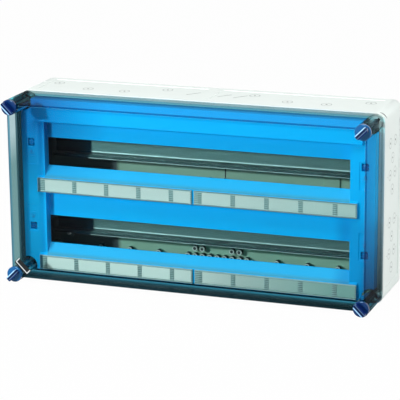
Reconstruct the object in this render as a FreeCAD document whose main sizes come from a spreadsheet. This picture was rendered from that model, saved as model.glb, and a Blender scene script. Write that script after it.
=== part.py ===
import FreeCAD, Part
import math
import operator
import os
from types import SimpleNamespace

import Sketcher

# A wall-mounted enclosure for two rows of circuit breakers. X runs to the right, Z runs up and the
# wall is the plane Y = 0, so a depth is counted from the wall towards the front, along -Y.
# The origin is the centre of the back face. All sizes are in millimetres.
SIZES = [
    ("box_width", "600"),
    ("box_height", "300"),
    ("base_depth", "100"),
    ("wall", "3"),
    ("floor_thickness", "4"),
    ("corner_radius", "14"),
    ("rim_width", "9"),
    ("rim_depth", "6"),
    ("groove_inset", "3"),
    ("groove_width", "3"),
    ("groove_depth", "2.5"),
    ("groove_clearance", "0.15"),
    ("running_gap", "0.3"),
    ("lid_depth", "71"),
    ("lid_wall", "3"),
    ("lid_foot_inset", "3"),
    ("lid_pane_inset", "9"),
    ("lid_flange_inset", "1.5"),
    ("lid_flange_depth", "3"),
    ("lid_tower_wall", "2.6"),
    ("lid_seat_depth", "8"),
    ("tower_radius", "12"),
    ("tower_bore_radius", "8"),
    ("tower_bore_depth", "60"),
    ("ledge_thickness", "5"),
    ("shank_radius", "4"),
    ("shank_clearance", "0.4"),
    ("lug_reach", "6.9"),
    ("lug_width", "4"),
    ("lug_thickness", "4"),
    ("knob_radius", "12.5"),
    ("knob_flange_depth", "5"),
    ("knob_height", "14"),
    ("grip_width", "8"),
    ("grip_slot_width", "1.8"),
    ("grip_slot_depth", "2"),
    ("window_margin", "48"),
    ("window_height", "46"),
    ("upper_gap_share", "0.41117"),
    ("ledge_sill_gap", "1.6"),
    ("cover_inset", "9"),
    ("cover_wall", "2.5"),
    ("cover_rise", "19"),
    ("cover_skirt_gap", "1"),
    ("panel_setback", "13"),
    ("ridge_height", "36"),
    ("ridge_rise", "6"),
    ("ridge_overhang", "20"),
    ("ledge_drop", "16.8"),
    ("ledge_height", "24.5"),
    ("ledge_rise", "2"),
    ("ledge_margin", "1"),
    ("cover_notch_gap", "2.5"),
    ("latch_inset", "25"),
    ("latch_drop", "81"),
    ("latch_recess_width", "11"),
    ("latch_recess_height", "12"),
    ("latch_recess_depth", "6"),
    ("latch_frame_width", "17"),
    ("latch_frame_height", "44"),
    ("latch_frame_depth", "0.8"),
    ("latch_head_radius", "4.8"),
    ("latch_head_depth", "4.5"),
    ("latch_shank_radius", "2.8"),
    ("latch_lug_reach", "4.7"),
    ("latch_lug_width", "2.8"),
    ("latch_lug_thickness", "3"),
    ("latch_ledge", "3"),
    ("latch_slot_width", "1.4"),
    ("latch_slot_depth", "1.6"),
    ("mark_size", "5"),
    ("mark_rise", "0.5"),
    ("mark_line_width", "1"),
    ("post_rise", "4"),
    ("post_radius", "7"),
    ("post_bore_radius", "5.2"),
    ("post_bore_depth", "22"),
    ("rib_thickness", "3"),
    ("rib_setback", "12"),
    ("rail_height", "35"),
    ("rail_hat_height", "27"),
    ("rail_depth", "15"),
    ("rail_thickness", "1.5"),
    ("rail_front", "65"),
    ("rail_end_gap", "38"),
    ("pillar_inset", "22"),
    ("pillar_radius", "7"),
    ("tube_radius", "4.6"),
    ("tube_bore_radius", "2.3"),
    ("tube_height", "10"),
    ("tube_bore_depth", "9"),
    ("tube_pitch", "12.7"),
    ("tube_margin", "71.4"),
    ("tube_row_offset", "19"),
    ("fixing_inset_side", "38"),
    ("fixing_inset_end", "40"),
    ("fixing_hole_radius", "3.5"),
    ("fixing_collar_radius", "8.5"),
    ("fixing_collar_height", "6"),
    ("field_margin", "12"),
    ("field_recess", "0.6"),
    ("gland_mark_radius", "1.2"),
    ("gland_mark_depth", "0.5"),
    ("gland_mark_shift", "10.3"),
    ("gland_row_spacing", "29"),
    ("gland_column_spacing", "50"),
    ("gland_group_margin", "175"),
    ("gland_group_shift", "8"),
    ("strip_margin", "36"),
    ("strip_gap", "4"),
    ("strip_height", "22.5"),
    ("strip_thickness", "3"),
    ("strip_lip", "1.6"),
    ("strip_lip_rise", "1"),
    ("strip_end", "12.8"),
    ("strip_last_field", "30.4"),
    ("strip_divider", "7.2"),
    ("strip_field_depth", "1.4"),
    ("strip_border", "2"),
    ("divider_rib_pitch", "2"),
    ("divider_rib_width", "0.8"),
    ("divider_rib_rise", "0.5"),
    ("card_thickness", "1"),
    ("card_clearance", "0.2"),
    ("plate_length", "28"),
    ("plate_width", "11"),
    ("plate_thickness", "0.8"),
    ("plate_distance", "18.5"),
]

FIELDS_PER_STRIP = 5
RIBS_PER_DIVIDER = 3
# Single tubes stand in the row near the bottom at these counts of steps from the middle.
OUTER_TUBE = 4.5
SINGLE_TUBES = [-4, -3, -2, 2, 3, 4, OUTER_TUBE]
CLUSTER_TUBES = range(-4, 5)
CLUSTER_PAIRS = [-3, -2, 2, 3]
CORNERS = {
    "top_left": (-1, 1),
    "top_right": (1, 1),
    "bottom_left": (-1, -1),
    "bottom_right": (1, -1),
}
ROWS = {"upper": 1, "lower": -1}
HANDS = {"left": -1, "right": 1}
DIAGONAL = math.sqrt(0.5)
HALF_RIGHT_ANGLE = 45
QUARTERS = 4


class Size:
    """A length with the formula that ties it to the sheet of sizes."""

    def __init__(self, number, formula):
        self.number = number
        self.formula = formula

    def __add__(self, other):
        return combined(self, "+", other)

    def __radd__(self, other):
        return combined(other, "+", self)

    def __sub__(self, other):
        return combined(self, "-", other)

    def __rsub__(self, other):
        return combined(other, "-", self)

    def __mul__(self, other):
        return combined(self, "*", other)

    def __rmul__(self, other):
        return combined(other, "*", self)

    def __truediv__(self, other):
        return combined(self, "/", other)

    def __neg__(self):
        return combined(-1, "*", self)


OPERATIONS = {"+": operator.add, "-": operator.sub, "*": operator.mul, "/": operator.truediv}


def as_size(value):
    if isinstance(value, Size):
        return value
    return Size(float(value), f"({float(value)})")


def combined(left, sign, right):
    left = as_size(left)
    right = as_size(right)
    number = OPERATIONS[sign](left.number, right.number)
    return Size(number, f"({left.formula} {sign} {right.formula})")


def fill_sheet(document):
    """Writes the sheet of sizes and gives each size back under its own name."""
    sheet = document.addObject("Spreadsheet::Sheet", "Sizes")
    for row, (name, number) in enumerate(SIZES, start=1):
        sheet.set(f"A{row}", name)
        sheet.set(f"B{row}", number)
        sheet.setAlias(f"B{row}", name)
    document.recompute()
    return SimpleNamespace(**{name: Size(float(sheet.get(name)), f"Sizes.{name}") for name, _ in SIZES})


doc = FreeCAD.newDocument("circuit_breaker_enclosure")
s = fill_sheet(doc)


# Sketches and features

def new_body(label):
    body = doc.addObject("PartDesign::Body", label)
    body.Label = label
    return body


def place(body, x=0, y=0, z=0, turn=0):
    """Sets a body down at a point of the enclosure, turned about the depth axis."""
    turned = FreeCAD.Rotation(FreeCAD.Vector(0, 1, 0), turn)
    body.Placement = FreeCAD.Placement(FreeCAD.Vector(), turned)
    for axis, value in (("x", x), ("y", y), ("z", z)):
        body.setExpression(f"Placement.Base.{axis}", as_size(value).formula)


class Drawing:
    """A sketch whose lines and dimensions are gathered first and solved together."""

    def __init__(self, sketch):
        self.sketch = sketch
        self.geometry = []
        self.constraints = []
        self.formulas = {}

    def draw(self, items):
        """Adds lines, arcs or circles and gives the number of the first."""
        first = len(self.geometry)
        self.geometry += items
        return first

    def tie(self, kind, *where):
        self.constraints.append(Sketcher.Constraint(kind, *where))

    def hold(self, kind, value, *where):
        """Adds a dimension whose value follows the sheet."""
        value = as_size(value)
        self.formulas[len(self.constraints)] = value.formula
        self.constraints.append(Sketcher.Constraint(kind, *where, value.number))

    def hold_point(self, geometry, point, x, y):
        self.hold("DistanceX", x, -1, 1, geometry, point)
        self.hold("DistanceY", y, -1, 1, geometry, point)

    def solved(self):
        self.sketch.addGeometry(self.geometry, False)
        self.sketch.addConstraint(self.constraints)
        for index, formula in self.formulas.items():
            self.sketch.setExpression(f"Constraints[{index}]", formula)
        return self.sketch


def new_sketch(body, role, offset=0):
    """A drawing on an origin plane of its body, moved along the plane's normal.

    On XZ_Plane the sketch looks at the front, and the offset is the depth from the wall."""
    plane = next(item for item in body.Origin.OriginFeatures if item.Role == role)
    sketch = body.newObject("Sketcher::SketchObject", "Sketch")
    sketch.AttachmentSupport = (plane, [""])
    sketch.MapMode = "FlatFace"
    sketch.setExpression("AttachmentOffset.Base.z", as_size(offset).formula)
    return Drawing(sketch)


def flat_vector(x, y):
    return FreeCAD.Vector(as_size(x).number, as_size(y).number, 0)


def add_polygon(drawing, points):
    """A closed outline of straight lines, each corner held by its own two distances."""
    corners = [flat_vector(x, y) for x, y in points]
    count = len(corners)
    lines = [Part.LineSegment(corners[i], corners[(i + 1) % count]) for i in range(count)]
    first = drawing.draw(lines)
    for i, (x, y) in enumerate(points):
        drawing.tie("Coincident", first + i, 2, first + (i + 1) % count, 1)
        drawing.hold_point(first + i, 1, x, y)


def add_rectangle(drawing, left, bottom, right, top):
    add_polygon(drawing, [(left, bottom), (right, bottom), (right, top), (left, top)])


def add_square(drawing, x, y, half_side):
    add_rectangle(drawing, x - half_side, y - half_side, x + half_side, y + half_side)


def add_circle(drawing, x, y, radius):
    circle = Part.Circle(flat_vector(x, y), FreeCAD.Vector(0, 0, 1), as_size(radius).number)
    index = drawing.draw([circle])
    drawing.hold_point(index, 3, x, y)
    drawing.hold("Radius", radius, index)


def add_rounded(drawing, half_width, half_height, radius):
    """A rectangle with rounded corners about the sketch's origin."""
    centre_x = half_width - radius
    centre_y = half_height - radius
    centres = [(centre_x, centre_y), (-centre_x, centre_y), (-centre_x, -centre_y), (centre_x, -centre_y)]
    arcs = []
    for quarter, (x, y) in enumerate(centres):
        circle = Part.Circle(flat_vector(x, y), FreeCAD.Vector(0, 0, 1), radius.number)
        arcs.append(Part.ArcOfCircle(circle, quarter * math.pi / 2, (quarter + 1) * math.pi / 2))
    lines = []
    for quarter in range(QUARTERS):
        following = arcs[(quarter + 1) % QUARTERS]
        lines.append(Part.LineSegment(arcs[quarter].EndPoint, following.StartPoint))
    first_arc = drawing.draw(arcs)
    first_line = drawing.draw(lines)
    for quarter in range(QUARTERS):
        arc = first_arc + quarter
        line = first_line + quarter
        following = first_arc + (quarter + 1) % QUARTERS
        drawing.tie("Tangent", arc, 2, line, 1)
        drawing.tie("Tangent", line, 2, following, 1)
        drawing.hold_point(arc, 3, *centres[quarter])
        drawing.hold("Radius", radius, arc)


def extrude(body, kind, drawing, length, reverse=False, both_ways=False):
    """A Pad grows along the sketch's normal and a Pocket cuts against it, unless reversed."""
    feature = body.newObject("PartDesign::" + kind, kind)
    feature.Profile = drawing.solved()
    feature.setExpression("Length", as_size(length).formula)
    feature.Reversed = reverse
    feature.Refine = False
    if both_ways:
        feature.SideType = "Symmetric"
    return feature


def repeat(body, feature, spacing, count):
    """Repeats a feature along its sketch's horizontal axis."""
    pattern = body.newObject("PartDesign::LinearPattern", "LinearPattern")
    pattern.Originals = [feature]
    pattern.Direction = (feature.Profile[0], ["H_Axis"])
    pattern.setExpression("Length", (spacing * (count - 1)).formula)
    pattern.Occurrences = count
    body.Tip = pattern
    return pattern


def loft(body, kind, first, second):
    feature = body.newObject("PartDesign::" + kind, kind)
    feature.Profile = (first.solved(), [""])
    feature.Sections = [(second.solved(), [""])]
    feature.Ruled = True
    feature.Refine = False
    return feature


def revolve(body, points):
    """Turns a profile of (depth, radius) points about the depth axis through the body's origin."""
    drawing = new_sketch(body, "YZ_Plane")
    add_polygon(drawing, points)
    sketch = drawing.solved()
    feature = body.newObject("PartDesign::Revolution", "Revolution")
    feature.Profile = sketch
    feature.ReferenceAxis = (sketch, ["H_Axis"])
    feature.Angle = 360
    return feature


def along_diagonal(x, z, x_side, z_side, along, across):
    """A point that lies off (x, z) by one distance towards the box's corner and one across it."""
    step_x = (along * x_side - across * z_side) * DIAGONAL
    step_z = (along * z_side + across * x_side) * DIAGONAL
    return (x + step_x, z + step_z)


# Places that several pieces share

half_width = s.box_width / 2
half_height = s.box_height / 2
fastener_x = half_width - s.corner_radius
fastener_z = half_height - s.corner_radius
pane_front = s.base_depth + s.lid_depth
cover_half_width = half_width - s.cover_inset
cover_half_height = half_height - s.cover_inset
cover_front = s.base_depth + s.cover_rise
panel_front = cover_front - s.panel_setback
window_half_width = half_width - s.window_margin
latch_x = half_width - s.latch_inset
latch_z = half_height - s.latch_drop
rail_half_length = half_width - s.rail_end_gap
pillar_x = rail_half_length - s.pillar_inset
strip_length = half_width - s.strip_gap / 2 - s.strip_margin
strip_field_pitch = (strip_length - s.strip_end - s.strip_last_field) / (FIELDS_PER_STRIP - 1)
post_top = s.base_depth + s.post_rise
ledge_front = cover_front + s.ledge_rise
shank_hole = s.shank_radius + s.shank_clearance
latch_hole = s.latch_shank_radius + s.shank_clearance


# A row is a window with the ledge below it. The lower row ends just above the cover's lower edge,
# and what the two rows and the ridge leave free is shared out above the two windows.
row_height = s.window_height + s.ledge_drop + s.ledge_height
free_height = 2 * cover_half_height - s.ridge_height - 2 * row_height - s.ledge_sill_gap


def row_centre(side):
    """The height of a row's window centre, which is also its rail's."""
    if side > 0:
        top = cover_half_height - s.ridge_height - free_height * s.upper_gap_share
        return top - s.window_height / 2
    return row_height - s.window_height / 2 + s.ledge_sill_gap - cover_half_height


def ledge_top(side):
    return row_centre(side) - s.window_height / 2 - s.ledge_drop


# Base box

def add_base_shell(body):
    outline = new_sketch(body, "XZ_Plane")
    add_rounded(outline, half_width, half_height, s.corner_radius)
    extrude(body, "Pad", outline, s.base_depth)

    cavity = new_sketch(body, "XZ_Plane", s.base_depth)
    add_rounded(cavity, half_width - s.wall, half_height - s.wall, s.corner_radius - s.wall)
    extrude(body, "Pocket", cavity, s.base_depth - s.floor_thickness)

    rim = new_sketch(body, "XZ_Plane", s.base_depth - s.rim_depth)
    outer = s.wall / 2
    add_rounded(rim, half_width - outer, half_height - outer, s.corner_radius - outer)
    add_rounded(rim, half_width - s.rim_width, half_height - s.rim_width, s.corner_radius - s.rim_width)
    extrude(body, "Pad", rim, s.rim_depth)


def add_base_columns(body):
    """Moulded columns on the floor: fastener towers, latch posts, rail pillars and collars."""
    root = s.floor_thickness / 2
    columns = new_sketch(body, "XZ_Plane", root)
    for x_side, z_side in CORNERS.values():
        add_circle(columns, x_side * fastener_x, z_side * fastener_z, s.tower_radius)
    extrude(body, "Pad", columns, s.base_depth - root)

    ribs = new_sketch(body, "XZ_Plane", root)
    for x_side, z_side in CORNERS.values():
        inner = x_side * latch_x
        outer = x_side * (half_width - s.wall / 2)
        left, right = (inner, outer) if x_side > 0 else (outer, inner)
        middle = z_side * latch_z
        add_rectangle(ribs, left, middle - s.rib_thickness / 2, right, middle + s.rib_thickness / 2)
    extrude(body, "Pad", ribs, s.base_depth - s.rib_setback - root)

    posts = new_sketch(body, "XZ_Plane", root)
    for x_side, z_side in CORNERS.values():
        add_circle(posts, x_side * latch_x, z_side * latch_z, s.post_radius)
    extrude(body, "Pad", posts, post_top - root)

    pillars = new_sketch(body, "XZ_Plane", root)
    for side in ROWS.values():
        for hand in HANDS.values():
            add_circle(pillars, hand * pillar_x, row_centre(side), s.pillar_radius)
    extrude(body, "Pad", pillars, s.rail_front - s.rail_depth - root)

    collars = new_sketch(body, "XZ_Plane", root)
    for x_side, z_side in CORNERS.values():
        x = x_side * (half_width - s.fixing_inset_side)
        z = z_side * (half_height - s.fixing_inset_end)
        add_circle(collars, x, z, s.fixing_collar_radius)
    extrude(body, "Pad", collars, s.floor_thickness + s.fixing_collar_height - root)


def tube_places():
    """The terminal tubes on the floor: a row near the bottom with a cluster, and a central pair."""
    row = s.wall + s.tube_row_offset - half_height
    spacing = (half_width - s.tube_margin) / OUTER_TUBE
    places = [(step * spacing, row) for step in SINGLE_TUBES]
    places += [(step * s.tube_pitch, row) for step in CLUSTER_TUBES]
    places += [(step * s.tube_pitch, row + s.tube_pitch) for step in CLUSTER_PAIRS]
    places += [(step * s.tube_pitch, 0) for step in (-1, 1)]
    return places


def add_terminal_tubes(body):
    tubes = new_sketch(body, "XZ_Plane", s.floor_thickness / 2)
    bores = new_sketch(body, "XZ_Plane", s.floor_thickness + s.tube_height)
    for x, z in tube_places():
        add_circle(tubes, x, z, s.tube_radius)
        add_circle(bores, x, z, s.tube_bore_radius)
    extrude(body, "Pad", tubes, s.floor_thickness / 2 + s.tube_height)
    extrude(body, "Pocket", bores, s.tube_bore_depth)


def add_keyed_bores(body, places, top, ledge, bore_radius, bore_depth):
    """A blind bore under a ledge, for the lugs of a quarter-turn fastener."""
    bores = new_sketch(body, "XZ_Plane", top - ledge)
    for x, z in places:
        add_circle(bores, x, z, bore_radius)
    extrude(body, "Pocket", bores, bore_depth)


def add_base_bores(body):
    towers = [(x_side * fastener_x, z_side * fastener_z) for x_side, z_side in CORNERS.values()]
    posts = [(x_side * latch_x, z_side * latch_z) for x_side, z_side in CORNERS.values()]
    add_keyed_bores(body, towers, s.base_depth, s.ledge_thickness, s.tower_bore_radius, s.tower_bore_depth)
    add_keyed_bores(body, posts, post_top, s.latch_ledge, s.post_bore_radius, s.post_bore_depth)

    shanks = new_sketch(body, "XZ_Plane", post_top)
    for x, z in towers:
        add_circle(shanks, x, z, shank_hole)
    for x, z in posts:
        add_circle(shanks, x, z, latch_hole)
    extrude(body, "Pocket", shanks, s.ledge_thickness + s.post_rise + s.running_gap)

    keyways = new_sketch(body, "XZ_Plane", post_top)
    reach = s.lug_reach + s.shank_clearance
    breadth = s.lug_width / 2 + s.shank_clearance
    for x_side, z_side in CORNERS.values():
        x = x_side * fastener_x
        z = z_side * fastener_z
        ends = [(reach, breadth), (-reach, breadth), (-reach, -breadth), (reach, -breadth)]
        add_polygon(keyways, [along_diagonal(x, z, x_side, z_side, along, across) for along, across in ends])
    extrude(body, "Pocket", keyways, s.ledge_thickness + s.post_rise + s.running_gap)

    post_keys = new_sketch(body, "XZ_Plane", post_top)
    reach = s.latch_lug_reach + s.shank_clearance
    breadth = s.latch_lug_width / 2 + s.shank_clearance
    for x, z in posts:
        add_rectangle(post_keys, x - breadth, z - reach, x + breadth, z + reach)
    extrude(body, "Pocket", post_keys, s.latch_ledge + s.running_gap)

    fixings = new_sketch(body, "XZ_Plane", s.floor_thickness + s.fixing_collar_height)
    for x_side, z_side in CORNERS.values():
        x = x_side * (half_width - s.fixing_inset_side)
        z = z_side * (half_height - s.fixing_inset_end)
        add_circle(fixings, x, z, s.fixing_hole_radius)
    extrude(body, "Pocket", fixings, s.floor_thickness + s.fixing_collar_height)


def add_gasket_groove(body):
    groove = new_sketch(body, "XZ_Plane", s.base_depth)
    for inset in (s.groove_inset, s.groove_inset + s.groove_width):
        add_rounded(groove, half_width - inset, half_height - inset, s.corner_radius - inset)
    extrude(body, "Pocket", groove, s.groove_depth)


def add_flange_fields(body):
    """Sunken fields on the four walls, where the wall may be opened for cables."""
    depth_near = s.field_margin
    depth_far = s.base_depth - s.field_margin
    for side, reverse in ((1, False), (-1, True)):
        field = new_sketch(body, "XY_Plane", side * half_height)
        for hand in HANDS.values():
            ends = [hand * s.field_margin, hand * (half_width - 2 * s.field_margin)]
            left, right = ends if hand > 0 else ends[::-1]
            add_rectangle(field, left, -depth_far, right, -depth_near)
        extrude(body, "Pocket", field, s.field_recess, reverse=reverse)
    for side, reverse in ((1, False), (-1, True)):
        field = new_sketch(body, "YZ_Plane", side * half_width)
        reach = half_height - 2 * s.field_margin
        add_rectangle(field, -depth_far, -reach, -depth_near, reach)
        extrude(body, "Pocket", field, s.field_recess, reverse=reverse)


def end_wall_marks():
    """Two groups of staggered centre marks as (depth, height) places on an end wall."""
    middle = s.base_depth / 2
    for side in ROWS.values():
        centre = side * (s.box_height - s.gland_group_margin) / 2 + s.gland_group_shift
        half_column = s.gland_column_spacing / 2
        for depth_side in (-1, 1):
            for height_side in (-1, 1):
                yield (-middle + depth_side * s.gland_row_spacing, centre + height_side * half_column)
        yield (-middle, centre)
        yield (-middle, centre - s.gland_column_spacing)


def long_wall_marks():
    """A zigzag of centre marks as (x, depth) places on the top or bottom wall."""
    middle = s.base_depth / 2
    step = (s.box_height - s.gland_group_margin) / 2
    for hand in HANDS.values():
        for count, depth_side in ((1, 1), (2, -1), (3, -1), (4, 1)):
            x = hand * (count * step + s.gland_mark_shift)
            yield (x, -middle + depth_side * s.gland_row_spacing / 2)


def add_gland_marks(body):
    """Small dimples in the sunken fields, which centre the drill for a cable gland."""
    walls = [
        ("XY_Plane", half_height, 1, long_wall_marks),
        ("XY_Plane", half_height, -1, long_wall_marks),
        ("YZ_Plane", half_width, 1, end_wall_marks),
        ("YZ_Plane", half_width, -1, end_wall_marks),
    ]
    for role, distance, side, places in walls:
        marks = new_sketch(body, role, side * (distance - s.field_recess))
        for across, along in places():
            add_square(marks, across, along, s.gland_mark_radius)
        extrude(body, "Pocket", marks, s.gland_mark_depth, reverse=side < 0)


def make_base_box():
    body = new_body("base_box")
    add_base_shell(body)
    add_base_columns(body)
    add_terminal_tubes(body)
    add_base_bores(body)
    add_gasket_groove(body)
    add_flange_fields(body)
    add_gland_marks(body)
    return body


# Lid and its gasket

def make_gasket():
    """A foam ring that lies in the groove of the base rim and meets the lid's foot."""
    body = new_body("lid_gasket")
    ring = new_sketch(body, "XZ_Plane", s.base_depth - s.groove_depth)
    outer = s.groove_inset + s.groove_clearance
    inner = s.groove_inset + s.groove_width - s.groove_clearance
    for inset in (outer, inner):
        add_rounded(ring, half_width - inset, half_height - inset, s.corner_radius - inset)
    extrude(body, "Pad", ring, s.groove_depth)
    return body


def lid_section(body, depth, inset, radius):
    section = new_sketch(body, "XZ_Plane", depth)
    add_rounded(section, half_width - inset, half_height - inset, radius)
    return section


def make_lid():
    """A deep clear lid: drafted walls, a flat pane, a foot flange and a straight tower per corner."""
    body = new_body("lid")
    foot_radius = s.corner_radius - s.lid_foot_inset
    pane_radius = s.corner_radius - s.lid_pane_inset
    foot = lid_section(body, s.base_depth, s.lid_foot_inset, foot_radius)
    pane = lid_section(body, pane_front, s.lid_pane_inset, pane_radius)
    loft(body, "AdditiveLoft", foot, pane)

    flange_radius = s.corner_radius - s.lid_flange_inset
    flange = lid_section(body, s.base_depth, s.lid_flange_inset, flange_radius)
    extrude(body, "Pad", flange, s.lid_flange_depth)

    inner_foot = lid_section(body, s.base_depth, s.lid_foot_inset + s.lid_wall, foot_radius - s.lid_wall)
    inner_pane_inset = s.lid_pane_inset + s.lid_wall
    inner_pane = lid_section(body, pane_front - s.lid_wall, inner_pane_inset, pane_radius - s.lid_wall / 2)
    loft(body, "SubtractiveLoft", inner_foot, inner_pane)

    towers = new_sketch(body, "XZ_Plane", s.base_depth)
    for x_side, z_side in CORNERS.values():
        add_circle(towers, x_side * fastener_x, z_side * fastener_z, flange_radius)
    extrude(body, "Pad", towers, s.lid_depth)

    cores = new_sketch(body, "XZ_Plane", s.base_depth)
    bores = new_sketch(body, "XZ_Plane", pane_front)
    for x_side, z_side in CORNERS.values():
        x = x_side * fastener_x
        z = z_side * fastener_z
        add_circle(cores, x, z, flange_radius - s.lid_tower_wall)
        add_circle(bores, x, z, shank_hole)
    extrude(body, "Pocket", cores, s.lid_depth - s.lid_seat_depth, reverse=True)
    extrude(body, "Pocket", bores, s.lid_depth)
    return body


# Lid fasteners

def make_fastener(name, x_side, z_side):
    """A quarter-turn knob: round head with a grip bar on the diagonal, long shank, two lugs."""
    body = new_body("fastener_" + name)
    head_back = pane_front + s.running_gap
    head_front = pane_front + s.knob_height
    disc_front = head_back + s.knob_flange_depth
    lug_front = s.base_depth - s.ledge_thickness - s.running_gap
    shank_end = lug_front - s.lug_thickness
    bevel = s.grip_slot_width / 2
    revolve(body, [
        (-shank_end, 0),
        (-shank_end, s.shank_radius),
        (-head_back, s.shank_radius),
        (-head_back, s.knob_radius),
        (-(disc_front - bevel), s.knob_radius),
        (-disc_front, s.knob_radius - bevel),
        (-disc_front, 0),
    ])
    grip = new_sketch(body, "XZ_Plane", head_back + s.knob_flange_depth / 2)
    reach = s.knob_radius - bevel
    half_grip = s.grip_width / 2
    point = reach - half_grip / 2
    add_polygon(grip, [
        (reach, 0), (point, half_grip), (-point, half_grip),
        (-reach, 0), (-point, -half_grip), (point, -half_grip),
    ])
    extrude(body, "Pad", grip, head_front - head_back - s.knob_flange_depth / 2)

    slot = new_sketch(body, "XZ_Plane", head_front)
    add_rectangle(slot, -reach, -s.grip_slot_width / 2, reach, s.grip_slot_width / 2)
    extrude(body, "Pocket", slot, s.grip_slot_depth)

    lugs = new_sketch(body, "XZ_Plane", shank_end)
    add_rectangle(lugs, -s.lug_reach, -s.lug_width / 2, s.lug_reach, s.lug_width / 2)
    extrude(body, "Pad", lugs, s.lug_thickness)
    place(body, x_side * fastener_x, 0, z_side * fastener_z, turn=-HALF_RIGHT_ANGLE * x_side * z_side)
    return body


# Device cover

def add_cover_front(body):
    """The cover's block with its ridge, its recessed panels and the ledges for the label strips."""
    back = s.base_depth + s.cover_skirt_gap
    block = new_sketch(body, "XZ_Plane", back)
    add_rectangle(block, -cover_half_width, -cover_half_height, cover_half_width, cover_half_height)
    extrude(body, "Pad", block, cover_front - back)

    slope = s.ledge_drop / (s.panel_setback + s.ledge_rise)
    recesses = new_sketch(body, "YZ_Plane")
    for side, top in ((1, cover_half_height - s.ridge_height), (-1, ledge_top(1) - s.ledge_height)):
        sill = row_centre(side) - s.window_height / 2
        add_polygon(recesses, [
            (-cover_front, top),
            (-panel_front, top),
            (-panel_front, sill),
            (-cover_front, sill - slope * s.panel_setback),
        ])
    extrude(body, "Pocket", recesses, 2 * window_half_width, both_ways=True)

    ridge = new_sketch(body, "XZ_Plane", panel_front)
    ridge_reach = window_half_width + s.ridge_overhang
    ridge_bottom = cover_half_height - s.ridge_height
    add_rectangle(ridge, -ridge_reach, ridge_bottom, ridge_reach, cover_half_height)
    extrude(body, "Pad", ridge, cover_front - panel_front + s.ridge_rise)

    ledges = new_sketch(body, "YZ_Plane")
    for side in ROWS.values():
        top = ledge_top(side)
        add_polygon(ledges, [
            (-panel_front, top + slope * (s.panel_setback + s.ledge_rise)),
            (-ledge_front, top),
            (-ledge_front, top - s.ledge_height),
            (-panel_front, top - s.ledge_height),
        ])
    reach = s.strip_gap / 2 + strip_length + s.ledge_margin
    extrude(body, "Pad", ledges, 2 * reach, both_ways=True)


def add_cover_hollow(body):
    """The hollow behind the cover's skin, which keeps one wall thickness everywhere."""
    back = s.base_depth + s.cover_skirt_gap
    skin = s.cover_wall
    inner_width = cover_half_width - skin
    inner_height = cover_half_height - skin
    main = new_sketch(body, "XZ_Plane", back)
    add_rectangle(main, -inner_width, -inner_height, inner_width, inner_height)
    extrude(body, "Pocket", main, panel_front - skin - back, reverse=True)

    columns = new_sketch(body, "XZ_Plane", back)
    inner_edge = window_half_width + skin
    add_rectangle(columns, inner_edge, -inner_height, inner_width, inner_height)
    add_rectangle(columns, -inner_width, -inner_height, -inner_edge, inner_height)
    extrude(body, "Pocket", columns, cover_front - skin - back, reverse=True)

    ridge = new_sketch(body, "XZ_Plane", back)
    reach = window_half_width + s.ridge_overhang - skin
    add_rectangle(ridge, -reach, cover_half_height - s.ridge_height + skin, reach, inner_height)
    extrude(body, "Pocket", ridge, cover_front + s.ridge_rise - skin - back, reverse=True)

    hollows = new_sketch(body, "YZ_Plane")
    slope = s.ledge_drop / (s.panel_setback + s.ledge_rise)
    for side in ROWS.values():
        top = ledge_top(side)
        drop = slope * (s.panel_setback + s.ledge_rise)
        add_polygon(hollows, [
            (-back, top + drop - skin),
            (-(panel_front - skin), top + drop - skin),
            (-(ledge_front - skin), top - skin),
            (-(ledge_front - skin), top - s.ledge_height + skin),
            (-back, top - s.ledge_height + skin),
        ])
    extrude(body, "Pocket", hollows, 2 * (window_half_width + skin), both_ways=True)


def add_cover_openings(body):
    windows = new_sketch(body, "XZ_Plane", cover_front)
    for side in ROWS.values():
        middle = row_centre(side)
        half = s.window_height / 2
        add_rectangle(windows, -window_half_width, middle - half, window_half_width, middle + half)
    extrude(body, "Pocket", windows, s.cover_rise)

    notches = new_sketch(body, "XZ_Plane", cover_front + s.ridge_rise)
    radius = s.corner_radius - s.lid_flange_inset + s.cover_notch_gap
    for x_side, z_side in CORNERS.values():
        add_circle(notches, x_side * fastener_x, z_side * fastener_z, radius)
    extrude(body, "Pocket", notches, s.cover_rise + s.ridge_rise)


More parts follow.
